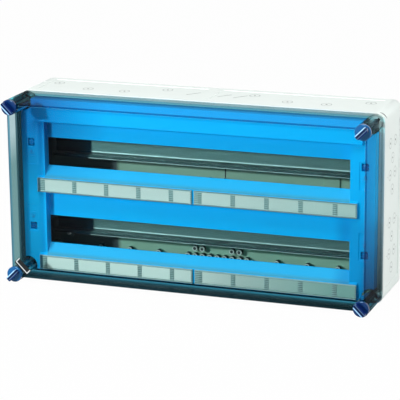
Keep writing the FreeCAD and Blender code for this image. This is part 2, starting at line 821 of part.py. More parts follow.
def add_latch_seats(body):
    """Sunken frames on the columns, each with a square well, an arrow mark and a line."""
    wells = new_sketch(body, "XZ_Plane", post_top)
    half_well = s.latch_recess_width / 2 + s.cover_wall
    half_tall = s.latch_recess_height / 2 + s.cover_wall
    for x_side, z_side in CORNERS.values():
        x = x_side * latch_x
        z = z_side * latch_z
        add_rectangle(wells, x - half_well, z - half_tall, x + half_well, z + half_tall)
    extrude(body, "Pad", wells, cover_front - s.cover_wall / 2 - post_top)

    frames = new_sketch(body, "XZ_Plane", cover_front)
    recesses = new_sketch(body, "XZ_Plane", cover_front)
    holes = new_sketch(body, "XZ_Plane", cover_front)
    keys = new_sketch(body, "XZ_Plane", cover_front)
    reach = s.latch_lug_reach + s.shank_clearance
    breadth = s.latch_lug_width / 2 + s.shank_clearance
    for x_side, z_side in CORNERS.values():
        x = x_side * latch_x
        z = z_side * latch_z
        half_frame = s.latch_frame_width / 2
        outer = z + z_side * (s.latch_recess_height / 2 + s.cover_wall)
        inner = outer - z_side * s.latch_frame_height
        low, high = (inner, outer) if z_side > 0 else (outer, inner)
        add_rectangle(frames, x - half_frame, low, x + half_frame, high)
        half_x = s.latch_recess_width / 2
        half_z = s.latch_recess_height / 2
        add_rectangle(recesses, x - half_x, z - half_z, x + half_x, z + half_z)
        add_circle(holes, x, z, latch_hole)
        add_rectangle(keys, x - breadth, z - reach, x + breadth, z + reach)
    extrude(body, "Pocket", frames, s.latch_frame_depth)
    extrude(body, "Pocket", recesses, s.latch_recess_depth)
    extrude(body, "Pocket", holes, s.cover_rise)
    extrude(body, "Pocket", keys, s.cover_rise)

    marks = new_sketch(body, "XZ_Plane", cover_front - s.latch_frame_depth)
    for x_side, z_side in CORNERS.values():
        x = x_side * latch_x
        tip = z_side * (latch_z - s.latch_recess_height)
        base = tip - z_side * s.mark_size
        line = base - z_side * s.mark_size
        add_polygon(marks, [(x, tip), (x - s.mark_size / 2, base), (x + s.mark_size / 2, base)])
        thick = z_side * s.mark_line_width
        add_polygon(marks, [
            (x - s.mark_size, line), (x + s.mark_size, line),
            (x + s.mark_size, line - thick), (x - s.mark_size, line - thick),
        ])
    extrude(body, "Pad", marks, s.mark_rise)


def make_device_cover():
    body = new_body("device_cover")
    add_cover_front(body)
    add_cover_hollow(body)
    add_cover_openings(body)
    add_latch_seats(body)
    return body


def make_latch(name, x_side, z_side):
    """A slotted quarter-turn latch with a cross lug, which holds the device cover to its post."""
    body = new_body("cover_latch_" + name)
    head_back = cover_front - s.latch_recess_depth + s.running_gap
    head_front = head_back + s.latch_head_depth
    lug_front = post_top - s.latch_ledge - s.running_gap
    shank_end = lug_front - s.latch_lug_thickness
    bevel = s.latch_slot_width / 2
    revolve(body, [
        (-shank_end, 0),
        (-shank_end, s.latch_shank_radius),
        (-head_back, s.latch_shank_radius),
        (-head_back, s.latch_head_radius),
        (-(head_front - bevel), s.latch_head_radius),
        (-head_front, s.latch_head_radius - bevel),
        (-head_front, 0),
    ])
    slot = new_sketch(body, "XZ_Plane", head_front)
    half_slot = s.latch_slot_width / 2
    add_rectangle(slot, -s.latch_head_radius, -half_slot, s.latch_head_radius, half_slot)
    extrude(body, "Pocket", slot, s.latch_slot_depth)

    lug = new_sketch(body, "XZ_Plane", shank_end)
    half_lug = s.latch_lug_width / 2
    add_rectangle(lug, -s.latch_lug_reach, -half_lug, s.latch_lug_reach, half_lug)
    extrude(body, "Pad", lug, s.latch_lug_thickness)
    place(body, x_side * latch_x, 0, z_side * latch_z)
    return body


# Mounting rails

def make_rail(name, side):
    """A rolled top-hat rail, open to the front, whose web lies on two pillars of the base."""
    body = new_body("din_rail_" + name)
    web_back = s.rail_front - s.rail_depth
    edge = s.rail_height / 2
    hat = s.rail_hat_height / 2
    sheet = s.rail_thickness
    profile = new_sketch(body, "YZ_Plane")
    add_polygon(profile, [
        (-s.rail_front, edge), (-s.rail_front + sheet, edge), (-s.rail_front + sheet, hat),
        (-web_back, hat), (-web_back, -hat), (-s.rail_front + sheet, -hat),
        (-s.rail_front + sheet, -edge), (-s.rail_front, -edge), (-s.rail_front, -hat + sheet),
        (-web_back - sheet, -hat + sheet), (-web_back - sheet, hat - sheet), (-s.rail_front, hat - sheet),
    ])
    extrude(body, "Pad", profile, 2 * rail_half_length, both_ways=True)
    place(body, 0, 0, row_centre(side))
    return body


# Label strips and their cards

def strip_fields():
    """Left and right ends of the strip's writing fields, from the strip's left end."""
    for number in range(FIELDS_PER_STRIP):
        left = s.strip_end + number * strip_field_pitch
        if number == FIELDS_PER_STRIP - 1:
            yield left, strip_length - s.strip_border
        else:
            yield left, left + strip_field_pitch - s.strip_divider


def strip_start(hand):
    return -s.strip_gap / 2 - strip_length if hand < 0 else s.strip_gap / 2


def strip_middle(side):
    return ledge_top(side) - s.ledge_height / 2


def make_label_strip(name, side, hand):
    """A moulded strip with sunken fields, ribbed dividers and a lip along its lower edge."""
    body = new_body("label_strip_" + name)
    half = s.strip_height / 2
    front = ledge_front + s.strip_thickness
    plate = new_sketch(body, "XZ_Plane", ledge_front)
    add_rectangle(plate, 0, -half, strip_length, half)
    extrude(body, "Pad", plate, s.strip_thickness)

    fields = new_sketch(body, "XZ_Plane", front)
    for left, right in strip_fields():
        add_rectangle(fields, left, -half + s.strip_border, right, half - s.strip_border)
    extrude(body, "Pocket", fields, s.strip_field_depth)

    lip = new_sketch(body, "XZ_Plane", front)
    add_rectangle(lip, 0, -half, strip_length, -half + s.strip_lip)
    extrude(body, "Pad", lip, s.strip_lip_rise)

    ribs = new_sketch(body, "XZ_Plane", front)
    half_rib = s.divider_rib_width / 2
    middle = s.strip_end - s.strip_divider / 2
    for rib in range(RIBS_PER_DIVIDER):
        x = middle + (rib - (RIBS_PER_DIVIDER - 1) / 2) * s.divider_rib_pitch
        add_rectangle(ribs, x - half_rib, -half + s.strip_border, x + half_rib, half - s.strip_border)
    divider = extrude(body, "Pad", ribs, s.divider_rib_rise)
    repeat(body, divider, strip_field_pitch, FIELDS_PER_STRIP)
    place(body, strip_start(hand), 0, strip_middle(side))
    return body


def make_label_cards(name, side, hand):
    """Blank cards, one in each field of a strip."""
    body = new_body("label_cards_" + name)
    body.AllowCompound = True
    half = s.strip_height / 2 - s.strip_border - s.card_clearance
    cards = new_sketch(body, "XZ_Plane", ledge_front + s.strip_thickness - s.strip_field_depth)
    for left, right in strip_fields():
        add_rectangle(cards, left + s.card_clearance, -half, right - s.card_clearance, half)
    extrude(body, "Pad", cards, s.card_thickness)
    place(body, strip_start(hand), 0, strip_middle(side))
    return body


def make_label_plate():
    """A small bare plate on the pane, set across the lid's bottom left corner."""
    body = new_body("label_plate")
    plate = new_sketch(body, "XZ_Plane", pane_front)
    near = s.plate_distance - s.plate_width / 2
    far = s.plate_distance + s.plate_width / 2
    half = s.plate_length / 2
    x_side, z_side = CORNERS["bottom_left"]
    ends = [(-near, half), (-near, -half), (-far, -half), (-far, half)]
    x = x_side * fastener_x
    z = z_side * fastener_z
    add_polygon(plate, [along_diagonal(x, z, x_side, z_side, along, across) for along, across in ends])
    extrude(body, "Pad", plate, s.plate_thickness)
    return body


# All pieces, checked and written

def make_pieces():
    pieces = [make_base_box(), make_gasket(), make_lid(), make_label_plate(), make_device_cover()]
    for name, (x_side, z_side) in CORNERS.items():
        pieces.append(make_fastener(name, x_side, z_side))
        pieces.append(make_latch(name, x_side, z_side))
    for row, side in ROWS.items():
        pieces.append(make_rail(row, side))
        for hand_name, hand in HANDS.items():
            name = f"{row}_{hand_name}"
            pieces.append(make_label_strip(name, side, hand))
            pieces.append(make_label_cards(name, side, hand))
    return pieces


pieces = make_pieces()
for piece in pieces:
    if piece.TypeId == "PartDesign::Body":
        piece.Tip.Refine = True
doc.recompute()

for item in doc.Objects:
    if "Invalid" in item.State or "Error" in item.State:
        raise RuntimeError(f"{item.Label} failed: {item.State}")
for piece in pieces:
    if piece.Shape.isNull() or not piece.Shape.isValid():
        raise RuntimeError(f"{piece.Label} has no valid shape")

os.makedirs("parts", exist_ok=True)
for piece in pieces:
    piece.Shape.exportStep(f"parts/{piece.Label}.step")
    print(f"{piece.Label}: {piece.Shape.Volume / 1000:.1f} cm3, {len(piece.Shape.Solids)} solid(s)")
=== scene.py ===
import math

import bmesh
import bpy
from mathutils import Matrix, Vector


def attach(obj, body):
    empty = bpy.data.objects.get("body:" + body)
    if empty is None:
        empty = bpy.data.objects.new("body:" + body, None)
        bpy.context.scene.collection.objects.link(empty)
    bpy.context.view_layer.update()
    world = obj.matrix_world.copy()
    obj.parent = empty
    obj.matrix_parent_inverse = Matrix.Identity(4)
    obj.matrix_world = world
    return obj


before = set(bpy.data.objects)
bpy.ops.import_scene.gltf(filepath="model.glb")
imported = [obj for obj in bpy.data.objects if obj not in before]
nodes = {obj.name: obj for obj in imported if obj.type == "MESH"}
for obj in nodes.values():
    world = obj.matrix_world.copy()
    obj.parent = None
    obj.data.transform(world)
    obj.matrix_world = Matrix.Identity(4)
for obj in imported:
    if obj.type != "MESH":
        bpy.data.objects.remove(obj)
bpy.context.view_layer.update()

# Base box: a deep open tray, injection moulded in light grey plastic with a fine eroded texture.
# Its columns, tubes and rim are one moulding with it, and the wall screws go through its floor.
# A span below is the value at which a mask begins, and the value at which it is full.

BASE_PLASTIC = (0.80, 0.86, 0.83, 1)
BASE_PLASTIC_SHADE = (0.76, 0.82, 0.79, 1)
# The inside colours are painted shade: the tray is light grey all through, darker inside where it is in
# shade.
BASE_INSIDE_PAINTED_SHADE = (0.32, 0.50, 0.37, 1)
BASE_INSIDE_PAINTED_SHADE_CLOUD = (0.24, 0.40, 0.27, 1)
# Painted shadow, on the tray's left end and on the tubes' walls.
BASE_PAINTED_SHADOW = (0.006, 0.018, 0.024, 1)
CLOUD_SCALE = 14
CLOUD_DETAIL = 4
GRAIN_SCALE = 1400
GRAIN_DETAIL = 2
GRAIN_HEIGHT = 0.0002
COLUMN_X = 0.286
COLUMN_Z = 0.136
CORNER_SPAN = (0.0125, 0.0115)
RIM_SPAN = (-0.0985, -0.0975)
BACK_SPAN = (-0.002, -0.003)
SHADOW_END_SPAN = (-0.17, -0.178)
SHADOW_END_STRENGTH = 0.96
LOWER_TUBES_Z = -0.1217
LOWER_TUBES_SPAN = (0.0125, 0.012)
MIDDLE_TUBES_SPAN = (0.006, 0.0055)
TUBE_FOOT_SPAN = (-0.005, -0.008)
TUBE_END_SPAN = (-0.016, -0.015)
TUBE_ROW_SPAN = (0.245, 0.24)
EDGE_ROUND = 0.0005
SHARP_ANGLE = math.radians(40)
WELD_REACH = 0.00001


def new_group(name, inputs, outputs):
    """An empty shader node group with its sockets, as (group, end node)."""
    group = bpy.data.node_groups.new(name, "ShaderNodeTree")
    for label, kind in inputs:
        group.interface.new_socket(name=label, in_out="INPUT", socket_type=kind)
    for label, kind in outputs:
        group.interface.new_socket(name=label, in_out="OUTPUT", socket_type=kind)
    return group, group.nodes.new("NodeGroupOutput")


def value_sockets(*names):
    """The sockets of a group that take or hand out plain values, such as masks."""
    return [(name, "NodeSocketFloat") for name in names]


def make_moulded_group():
    """Cloudy tone, uneven gloss and a fine grain, as moulded plastic has."""
    inputs = [("Colour", "NodeSocketColor"), ("Shade", "NodeSocketColor")]
    inputs += value_sockets("Gloss low", "Gloss high", "Grain")
    outputs = [("Colour", "NodeSocketColor"), ("Roughness", "NodeSocketFloat")]
    outputs += [("Normal", "NodeSocketVector")]
    group, end = new_group("moulded_surface", inputs, outputs)
    start = group.nodes.new("NodeGroupInput")
    link = group.links.new
    place = group.nodes.new("ShaderNodeTexCoord")
    clouds = group.nodes.new("ShaderNodeTexNoise")
    clouds.inputs["Scale"].default_value = CLOUD_SCALE
    clouds.inputs["Detail"].default_value = CLOUD_DETAIL
    grain = group.nodes.new("ShaderNodeTexNoise")
    grain.inputs["Scale"].default_value = GRAIN_SCALE
    grain.inputs["Detail"].default_value = GRAIN_DETAIL
    link(place.outputs["Object"], clouds.inputs["Vector"])
    link(place.outputs["Object"], grain.inputs["Vector"])
    tone = group.nodes.new("ShaderNodeMix")
    tone.data_type = "RGBA"
    link(clouds.outputs["Fac"], tone.inputs["Factor"])
    link(start.outputs["Colour"], tone.inputs["A"])
    link(start.outputs["Shade"], tone.inputs["B"])
    gloss = group.nodes.new("ShaderNodeMapRange")
    link(clouds.outputs["Fac"], gloss.inputs["Value"])
    link(start.outputs["Gloss low"], gloss.inputs["To Min"])
    link(start.outputs["Gloss high"], gloss.inputs["To Max"])
    bump = group.nodes.new("ShaderNodeBump")
    bump.inputs["Distance"].default_value = GRAIN_HEIGHT
    link(start.outputs["Grain"], bump.inputs["Strength"])
    link(grain.outputs["Fac"], bump.inputs["Height"])
    link(tone.outputs["Result"], end.inputs["Colour"])
    link(gloss.outputs["Result"], end.inputs["Roughness"])
    link(bump.outputs["Normal"], end.inputs["Normal"])
    return group


moulded_group = make_moulded_group()


def new_material(name):
    """A material with one Principled shader, as (material, tree, shader)."""
    material = bpy.data.materials.new(name)
    material.use_nodes = True
    tree = material.node_tree
    return material, tree, tree.nodes["Principled BSDF"]


def add_group(tree, group):
    """Places a group in a material, as a node."""
    node = tree.nodes.new("ShaderNodeGroup")
    node.node_tree = group
    return node


def wire_surface(tree, surface, shader):
    """Wires a surface group's colour, roughness and normal to a shader."""
    tree.links.new(surface.outputs["Colour"], shader.inputs["Base Color"])
    tree.links.new(surface.outputs["Roughness"], shader.inputs["Roughness"])
    tree.links.new(surface.outputs["Normal"], shader.inputs["Normal"])


def add_moulded(tree, shader, gloss, grain):
    """The moulded surface on a shader, as a node whose two colours are still to be set."""
    surface = add_group(tree, moulded_group)
    surface.inputs["Gloss low"].default_value = gloss[0]
    surface.inputs["Gloss high"].default_value = gloss[1]
    surface.inputs["Grain"].default_value = grain
    wire_surface(tree, surface, shader)
    return surface


def dress(obj, material):
    """Gives a piece its material."""
    obj.data.materials.clear()
    obj.data.materials.append(material)


def soften(obj, width, segments=2):
    """Rounds a piece's sharp edges a little, as its mould does."""
    weld = obj.modifiers.new("weld", "WELD")
    weld.merge_threshold = WELD_REACH
    bevel = obj.modifiers.new("bevel", "BEVEL")
    bevel.width = width
    bevel.segments = segments
    bevel.limit_method = "ANGLE"
    bevel.angle_limit = SHARP_ANGLE


def add_span(group, value, low, high):
    """A mask from 0 to 1 as a value goes from low to high."""
    span = group.nodes.new("ShaderNodeMapRange")
    span.inputs["From Min"].default_value = low
    span.inputs["From Max"].default_value = high
    group.links.new(value, span.inputs["Value"])
    return span.outputs["Result"]


def add_math(group, operation, *values):
    """A sum, product, maximum or other of values, each a socket or a number."""
    math_node = group.nodes.new("ShaderNodeMath")
    math_node.operation = operation
    for number, value in enumerate(values):
        if isinstance(value, (int, float)):
            math_node.inputs[number].default_value = value
        else:
            group.links.new(value, math_node.inputs[number])
    return math_node.outputs["Value"]


def add_off(group, value, middle=0):
    """How far a value lies from a middle, to either side."""
    return add_math(group, "ABSOLUTE", add_math(group, "SUBTRACT", value, middle))


def add_product(group, first, *others):
    """The product of masks, which is full only where all of them are."""
    product = first
    for other in others:
        product = add_math(group, "MULTIPLY", product, other)
    return product


def add_most(group, first, *others):
    """The greatest of masks, which is full where any of them is."""
    most = first
    for other in others:
        most = add_math(group, "MAXIMUM", most, other)
    return most


def add_blend(group, mask, first, second):
    """A mix of two colours by a mask, each a socket or a colour."""
    blend = group.nodes.new("ShaderNodeMix")
    blend.data_type = "RGBA"
    group.links.new(mask, blend.inputs["Factor"])
    for name, value in (("A", first), ("B", second)):
        if isinstance(value, tuple):
            blend.inputs[name].default_value = value
        else:
            group.links.new(value, blend.inputs[name])
    return blend.outputs["Result"]


def add_place(group, axes="XYZ"):
    """The coordinates of a point on the piece along some axes, as sockets."""
    place = group.nodes.new("ShaderNodeTexCoord")
    split = group.nodes.new("ShaderNodeSeparateXYZ")
    group.links.new(place.outputs["Object"], split.inputs["Vector"])
    return [split.outputs[axis] for axis in axes]


def add_tones(tree, masks, ground, tones):
    """A ground colour that goes over to other tones in turn, each where its mask says."""
    colour = ground
    for name, tone in tones:
        colour = add_blend(tree, masks.outputs[name], colour, tone)
    return colour


def make_tray_shade_group():
    """Where a point lies inside the tray, for painted shade, and where painted shadow goes: left end, tube
    walls.
    """
    group, end = new_group("tray_painted_shade", [], value_sockets("Inside", "Shadowed"))
    x, y, z = add_place(group)
    past_x = add_math(group, "MAXIMUM", add_math(group, "SUBTRACT", add_off(group, x), COLUMN_X), 0)
    past_z = add_math(group, "MAXIMUM", add_math(group, "SUBTRACT", add_off(group, z), COLUMN_Z), 0)
    squares = [add_math(group, "POWER", past, 2) for past in (past_x, past_z)]
    past = add_math(group, "SQRT", add_math(group, "ADD", *squares))
    within = add_span(group, past, *CORNER_SPAN)
    behind = add_span(group, y, *RIM_SPAN)
    ahead = add_span(group, y, *BACK_SPAN)
    inside = add_product(group, within, behind, ahead)
    # The cover's painted shadow over the tray's left end, and painted shade on the tubes' walls.
    shadow_end = add_product(group, add_span(group, x, *SHADOW_END_SPAN), SHADOW_END_STRENGTH)
    lower_row = add_span(group, add_off(group, z, LOWER_TUBES_Z), *LOWER_TUBES_SPAN)
    middle_row = add_span(group, add_off(group, z), *MIDDLE_TUBES_SPAN)
    row = add_most(group, lower_row, middle_row)
    raised = add_product(group, add_span(group, y, *TUBE_FOOT_SPAN), add_span(group, y, *TUBE_END_SPAN))
    short = add_span(group, add_off(group, x), *TUBE_ROW_SPAN)
    tube = add_product(group, row, raised, short)
    deep = add_product(group, inside, add_most(group, shadow_end, tube))
    group.links.new(inside, end.inputs["Inside"])
    group.links.new(deep, end.inputs["Shadowed"])
    return group


base_plastic, base_tree, base_shader = new_material("base_plastic")
base_surface = add_moulded(base_tree, base_shader, gloss=(0.5, 0.65), grain=0.3)
base_shade_masks = add_group(base_tree, make_tray_shade_group())
# Inside the tray the colour goes over to painted shade, and then to painted shadow.
for socket, outside, inside in (
    ("Colour", BASE_PLASTIC, BASE_INSIDE_PAINTED_SHADE),
    ("Shade", BASE_PLASTIC_SHADE, BASE_INSIDE_PAINTED_SHADE_CLOUD),
):
    base_tones = (("Inside", inside), ("Shadowed", BASE_PAINTED_SHADOW))
    base_tone = add_tones(base_tree, base_shade_masks, outside, base_tones)
    base_tree.links.new(base_tone, base_surface.inputs[socket])
dress(nodes["base_box"], base_plastic)
soften(nodes["base_box"], EDGE_ROUND)

# Knockout rings: fine moulded rings and centre marks on the base's walls, where a cable gland may go.
# They're one moulding with the base, and a ring's line lies half a millimetre down in its sunken field.
# The grey ring lines and short slanted marks are painted shade along the fine mouldings, and the dark
# dots are painted shade in the centre dimples.

# Painted shade colours for the ring lines and the centre dots.
RING_PAINTED_SHADE = (0.42, 0.47, 0.45, 1)
RING_PAINTED_SHADE_CLOUD = (0.38, 0.43, 0.41, 1)
DIMPLE_PAINTED_SHADE = (0.06, 0.075, 0.07, 1)
RING_STEPS = 40
RIGHT = Vector((1, 0, 0))
UP = Vector((0, 0, 1))
BACK = Vector((0, 1, 0))
HALF_WIDTH = 0.3
HALF_HEIGHT = 0.15
FIELD_DEPTH = 0.0005
MIDDLE_DEPTH = -0.05
SIDE_RING = (0.0075, 0.0084)
SIDE_GROUPS = (-0.0545, 0.0705)
SIDE_COLUMNS = (-0.0645, -0.0355)
SIDE_STEP = 0.025
LEVEL_RING = (0.0073, 0.0086)
LEVEL_PITCH = 0.0625
LEVEL_START = 0.0103
LEVEL_ROW = 0.0145
LEVEL_FIELDS = ((1, 1), (2, -1), (3, -1), (4, 1))
DOT_RADIUS = 0.0016
SLANTED_MARKS = (-0.024, 0.002, 0.028, 0.054)
SLANT = 1.2
SLANTED_REACH = 0.013
SLANTED_BREADTH = 0.0012


def moulded_plastic(name, colour, shade, gloss=(0.45, 0.6), grain=0.3):
    """A moulded plastic of one cloudy colour."""
    material, tree, shader = new_material(name)
    surface = add_moulded(tree, shader, gloss, grain)
    surface.inputs["Colour"].default_value = colour
    surface.inputs["Shade"].default_value = shade
    return material


def add_ring(mesh, middle, first, second, inner, outer):
    """A flat ring about a point, in the plane of two directions. With no inner radius it is a disc."""
    rounds = []
    for radius in (inner, outer):
        if radius == 0:
            rounds.append([mesh.verts.new(middle)] * RING_STEPS)
            continue
        round_points = []
        for step in range(RING_STEPS):
            turn = 2 * math.pi * step / RING_STEPS
            place = middle + first * radius * math.cos(turn) + second * radius * math.sin(turn)
            round_points.append(mesh.verts.new(place))
        rounds.append(round_points)
    for step in range(RING_STEPS):
        after = (step + 1) % RING_STEPS
        corners = [rounds[0][step], rounds[1][step], rounds[1][after], rounds[0][after]]
        mesh.faces.new(corners if inner else corners[:3])


def new_piece(name, mesh, body):
    """A scene object from a built mesh, which rides on a body of the object."""
    data = bpy.data.meshes.new(name)
    mesh.to_mesh(data)
    mesh.free()
    obj = bpy.data.objects.new(name, data)
    bpy.context.scene.collection.objects.link(obj)
    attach(obj, body)
    return obj


ring_mesh = bmesh.new()
dot_mesh = bmesh.new()
for side in (-1, 1):
    for group_middle in SIDE_GROUPS:
        places = []
        for rise in (-SIDE_STEP, SIDE_STEP):
            places += [(depth, group_middle + rise) for depth in SIDE_COLUMNS]
        places += [(MIDDLE_DEPTH, group_middle), (MIDDLE_DEPTH, group_middle - 2 * SIDE_STEP)]
        for depth, height in places:
            middle = Vector((side * (HALF_WIDTH - FIELD_DEPTH), depth, height))
            add_ring(ring_mesh, middle, BACK * side, UP, *SIDE_RING)
            add_ring(dot_mesh, middle, BACK * side, UP, 0, DOT_RADIUS)
    for hand in (-1, 1):
        for count, row in LEVEL_FIELDS:
            across = hand * (count * LEVEL_PITCH + LEVEL_START)
            height = side * (HALF_HEIGHT - FIELD_DEPTH)
            middle = Vector((across, MIDDLE_DEPTH + row * LEVEL_ROW, height))
            add_ring(ring_mesh, middle, RIGHT, BACK * side, *LEVEL_RING)
            add_ring(dot_mesh, middle, RIGHT, BACK * side, 0, DOT_RADIUS)
for across in SLANTED_MARKS:
    middle = Vector((across, MIDDLE_DEPTH, HALF_HEIGHT - FIELD_DEPTH))
    slope = (RIGHT + BACK * SLANT).normalized()
    thin = slope.cross(UP) * SLANTED_BREADTH
    corners = [middle - slope * SLANTED_REACH - thin, middle + slope * SLANTED_REACH - thin]
    corners += [middle + slope * SLANTED_REACH + thin, middle - slope * SLANTED_REACH + thin]
    ring_mesh.faces.new([ring_mesh.verts.new(corner) for corner in corners])
knockout_ring_shades = new_piece("knockout_ring_shades", ring_mesh, "enclosure")
ring_shade_lines = moulded_plastic("ring_shade_lines", RING_PAINTED_SHADE, RING_PAINTED_SHADE_CLOUD)
dress(knockout_ring_shades, ring_shade_lines)
dimple_shades = new_piece("dimple_shades", dot_mesh, "enclosure")
dimple_shade_plastic = moulded_plastic("dimple_shade_plastic", DIMPLE_PAINTED_SHADE, DIMPLE_PAINTED_SHADE, gloss=(0.6, 0.75))
dress(dimple_shades, dimple_shade_plastic)

# Corner slot: a narrow curved opening in the base's upper right corner, just behind the rim.
# It's cut by the mould, and a dark strip of painted shade stands for its unlit inside.

# Painted shade for holes where no light reaches: this slot, the tubes' bores and the slit in the floor.
HOLE_PAINTED_SHADE = (0.012, 0.016, 0.016, 1)
HOLE_PAINTED_SHADE_CLOUD = (0.02, 0.026, 0.026, 1)
SLOT_STEPS = 8
SLOT_START = 16
SLOT_SWEEP = 58
SLOT_RADIUS = 0.01405
SLOT_BREADTH = 0.0017
SLOT_DEPTH = -0.089
SLOT_SLOPE = 0.005
SLOT_END_SHARE = 0.1

slot_mesh = bmesh.new()
slot_rows = []
for step in range(SLOT_STEPS + 1):
    share = step / SLOT_STEPS
    turn = math.radians(SLOT_START + SLOT_SWEEP * share)
    swell = math.pi * (SLOT_END_SHARE + (1 - 2 * SLOT_END_SHARE) * share)
    breadth = SLOT_BREADTH * math.sin(swell)
    place_x = COLUMN_X + SLOT_RADIUS * math.cos(turn)
    place_z = COLUMN_Z + SLOT_RADIUS * math.sin(turn)
    place = Vector((place_x, SLOT_DEPTH - SLOT_SLOPE * share, place_z))
    slot_rows.append([slot_mesh.verts.new(place + BACK * way * breadth) for way in (-1, 1)])
for before, after in zip(slot_rows, slot_rows[1:]):
    slot_mesh.faces.new([before[0], after[0], after[1], before[1]])
corner_slot_shade = new_piece("corner_slot_shade", slot_mesh, "enclosure")
hole_shade = moulded_plastic("hole_shade", HOLE_PAINTED_SHADE, HOLE_PAINTED_SHADE_CLOUD, gloss=(0.7, 0.85))
dress(corner_slot_shade, hole_shade)

# Floor details: a low moulded plateau and a narrow slit behind the upper window, and the terminal tubes.
# All are part of the base moulding. The plateau has the tray's painted inside shade, a dark block of
# painted shade stands for the slit, the tubes' tips have painted highlights and their bores painted shade.

# A painted highlight for the lit ends of the tubes.
TIP_PAINTED_LIGHT = (0.6, 0.68, 0.6, 1)
TIP_PAINTED_LIGHT_CLOUD = (0.55, 0.63, 0.55, 1)
PLATEAU_CORNERS = ((0.178, -0.0065, 0), (0.204, -0.0038, 0.026))
PLATEAU_ROUND = 0.0008
SLIT_CORNERS = ((0.0115, -0.0042, 0.004), (0.0135, -0.0038, 0.02))
TUBE_PITCH = 0.0127
WIDE_PITCH = 0.0508
WIDE_STEPS = (-4, -3, -2, 2, 3, 4, 4.5)
LOWER_STEPS = range(-4, 5)
UPPER_STEPS = (-3, -2, 2, 3)
MIDDLE_STEPS = (-1, 1)
LOWER_ROW_Z = -0.128
UPPER_ROW_Z = -0.1153
TIP_LEVEL = -0.01405
TIP_RING = (0.0026, 0.0044)
BORE_LEVEL = -0.0135
BORE_RADIUS = 0.00225

# The plateau takes the tray's painted inside shade.
shaded_floor_mould = moulded_plastic("shaded_floor_mould", BASE_INSIDE_PAINTED_SHADE, BASE_INSIDE_PAINTED_SHADE_CLOUD, gloss=(0.5, 0.65))


def add_block(mesh, low, high):
    """A closed box between two corners."""
    corners = [(x, y, z) for x in (low[0], high[0]) for y in (low[1], high[1]) for z in (low[2], high[2])]
    points = [mesh.verts.new(corner) for corner in corners]
    for face in ((0, 1, 3, 2), (4, 6, 7, 5), (0, 4, 5, 1), (2, 3, 7, 6), (0, 2, 6, 4), (1, 5, 7, 3)):
        mesh.faces.new([points[number] for number in face])


plateau_mesh = bmesh.new()
add_block(plateau_mesh, *PLATEAU_CORNERS)
floor_plateau = new_piece("floor_plateau", plateau_mesh, "enclosure")
dress(floor_plateau, shaded_floor_mould)
soften(floor_plateau, PLATEAU_ROUND)
tube_places = [(step * WIDE_PITCH, LOWER_ROW_Z) for step in WIDE_STEPS]
tube_places += [(step * TUBE_PITCH, LOWER_ROW_Z) for step in LOWER_STEPS]
tube_places += [(step * TUBE_PITCH, UPPER_ROW_Z) for step in UPPER_STEPS]
tube_places += [(step * TUBE_PITCH, 0) for step in MIDDLE_STEPS]
tip_mesh = bmesh.new()
bore_mesh = bmesh.new()
for across, height in tube_places:
    add_ring(tip_mesh, Vector((across, TIP_LEVEL, height)), RIGHT, UP, *TIP_RING)
    add_ring(bore_mesh, Vector((across, BORE_LEVEL, height)), RIGHT, UP, 0, BORE_RADIUS)
tube_tip_highlights = new_piece("tube_tip_highlights", tip_mesh, "enclosure")
tip_highlight = moulded_plastic("tip_highlight", TIP_PAINTED_LIGHT, TIP_PAINTED_LIGHT_CLOUD, gloss=(0.5, 0.65))
dress(tube_tip_highlights, tip_highlight)
# Dark discs of painted shade in the tubes' bores, and a dark block of painted shade for the slit.
tube_bore_shades = new_piece("tube_bore_shades", bore_mesh, "enclosure")
dress(tube_bore_shades, hole_shade)
slit_mesh = bmesh.new()
add_block(slit_mesh, *SLIT_CORNERS)
floor_slit_shade = new_piece("floor_slit_shade", slit_mesh, "enclosure")
dress(floor_slit_shade, hole_shade)

# Lid gasket: a soft pale grey foam cord, square in section, pressed into the groove of the base rim.
# The lid's foot rests on it.

GASKET_FOAM = (0.5, 0.55, 0.53, 1)
GASKET_SHADE = (0.44, 0.49, 0.47, 1)

gasket_foam = moulded_plastic("gasket_foam", GASKET_FOAM, GASKET_SHADE, gloss=(0.8, 0.95), grain=0.8)
dress(nodes["lid_gasket"], gasket_foam)

# Lid: one deep moulding of clear, smoke-tinted polycarbonate with polished faces.
# It has drafted walls, a flat pane and a tower for a fastener in each corner.

PANE_TINT = (0.74, 0.85, 0.88, 1)
WALL_TINT = (0.27, 0.45, 0.44, 1)
CLEAR_WALL_TINT = (0.68, 0.82, 0.83, 1)
RIGHT_WALL_TINT = (0.42, 0.66, 0.72, 1)
RIGHT_FOOT_TINT = (0.86, 0.93, 0.92, 1)
RIGHT_LOW_TINT = (0.1, 0.22, 0.24, 1)
# Painted shade: a dark line along the pane's edges, where they bend light away.
EDGE_PAINTED_SHADE = (0.03, 0.16, 0.26, 1)
TOP_WALL_TINT = (0.2, 0.86, 0.95, 1)
# A painted shadow line on the top wall, near its foot.
TOP_PAINTED_SHADOW = (0.12, 0.36, 0.42, 1)
# Near black at the left foot, and painted shadow along the bottom wall, darkest to the right.
FOOT_DARK_AND_BOTTOM_PAINTED_SHADOW = (0.01, 0.042, 0.056, 1)
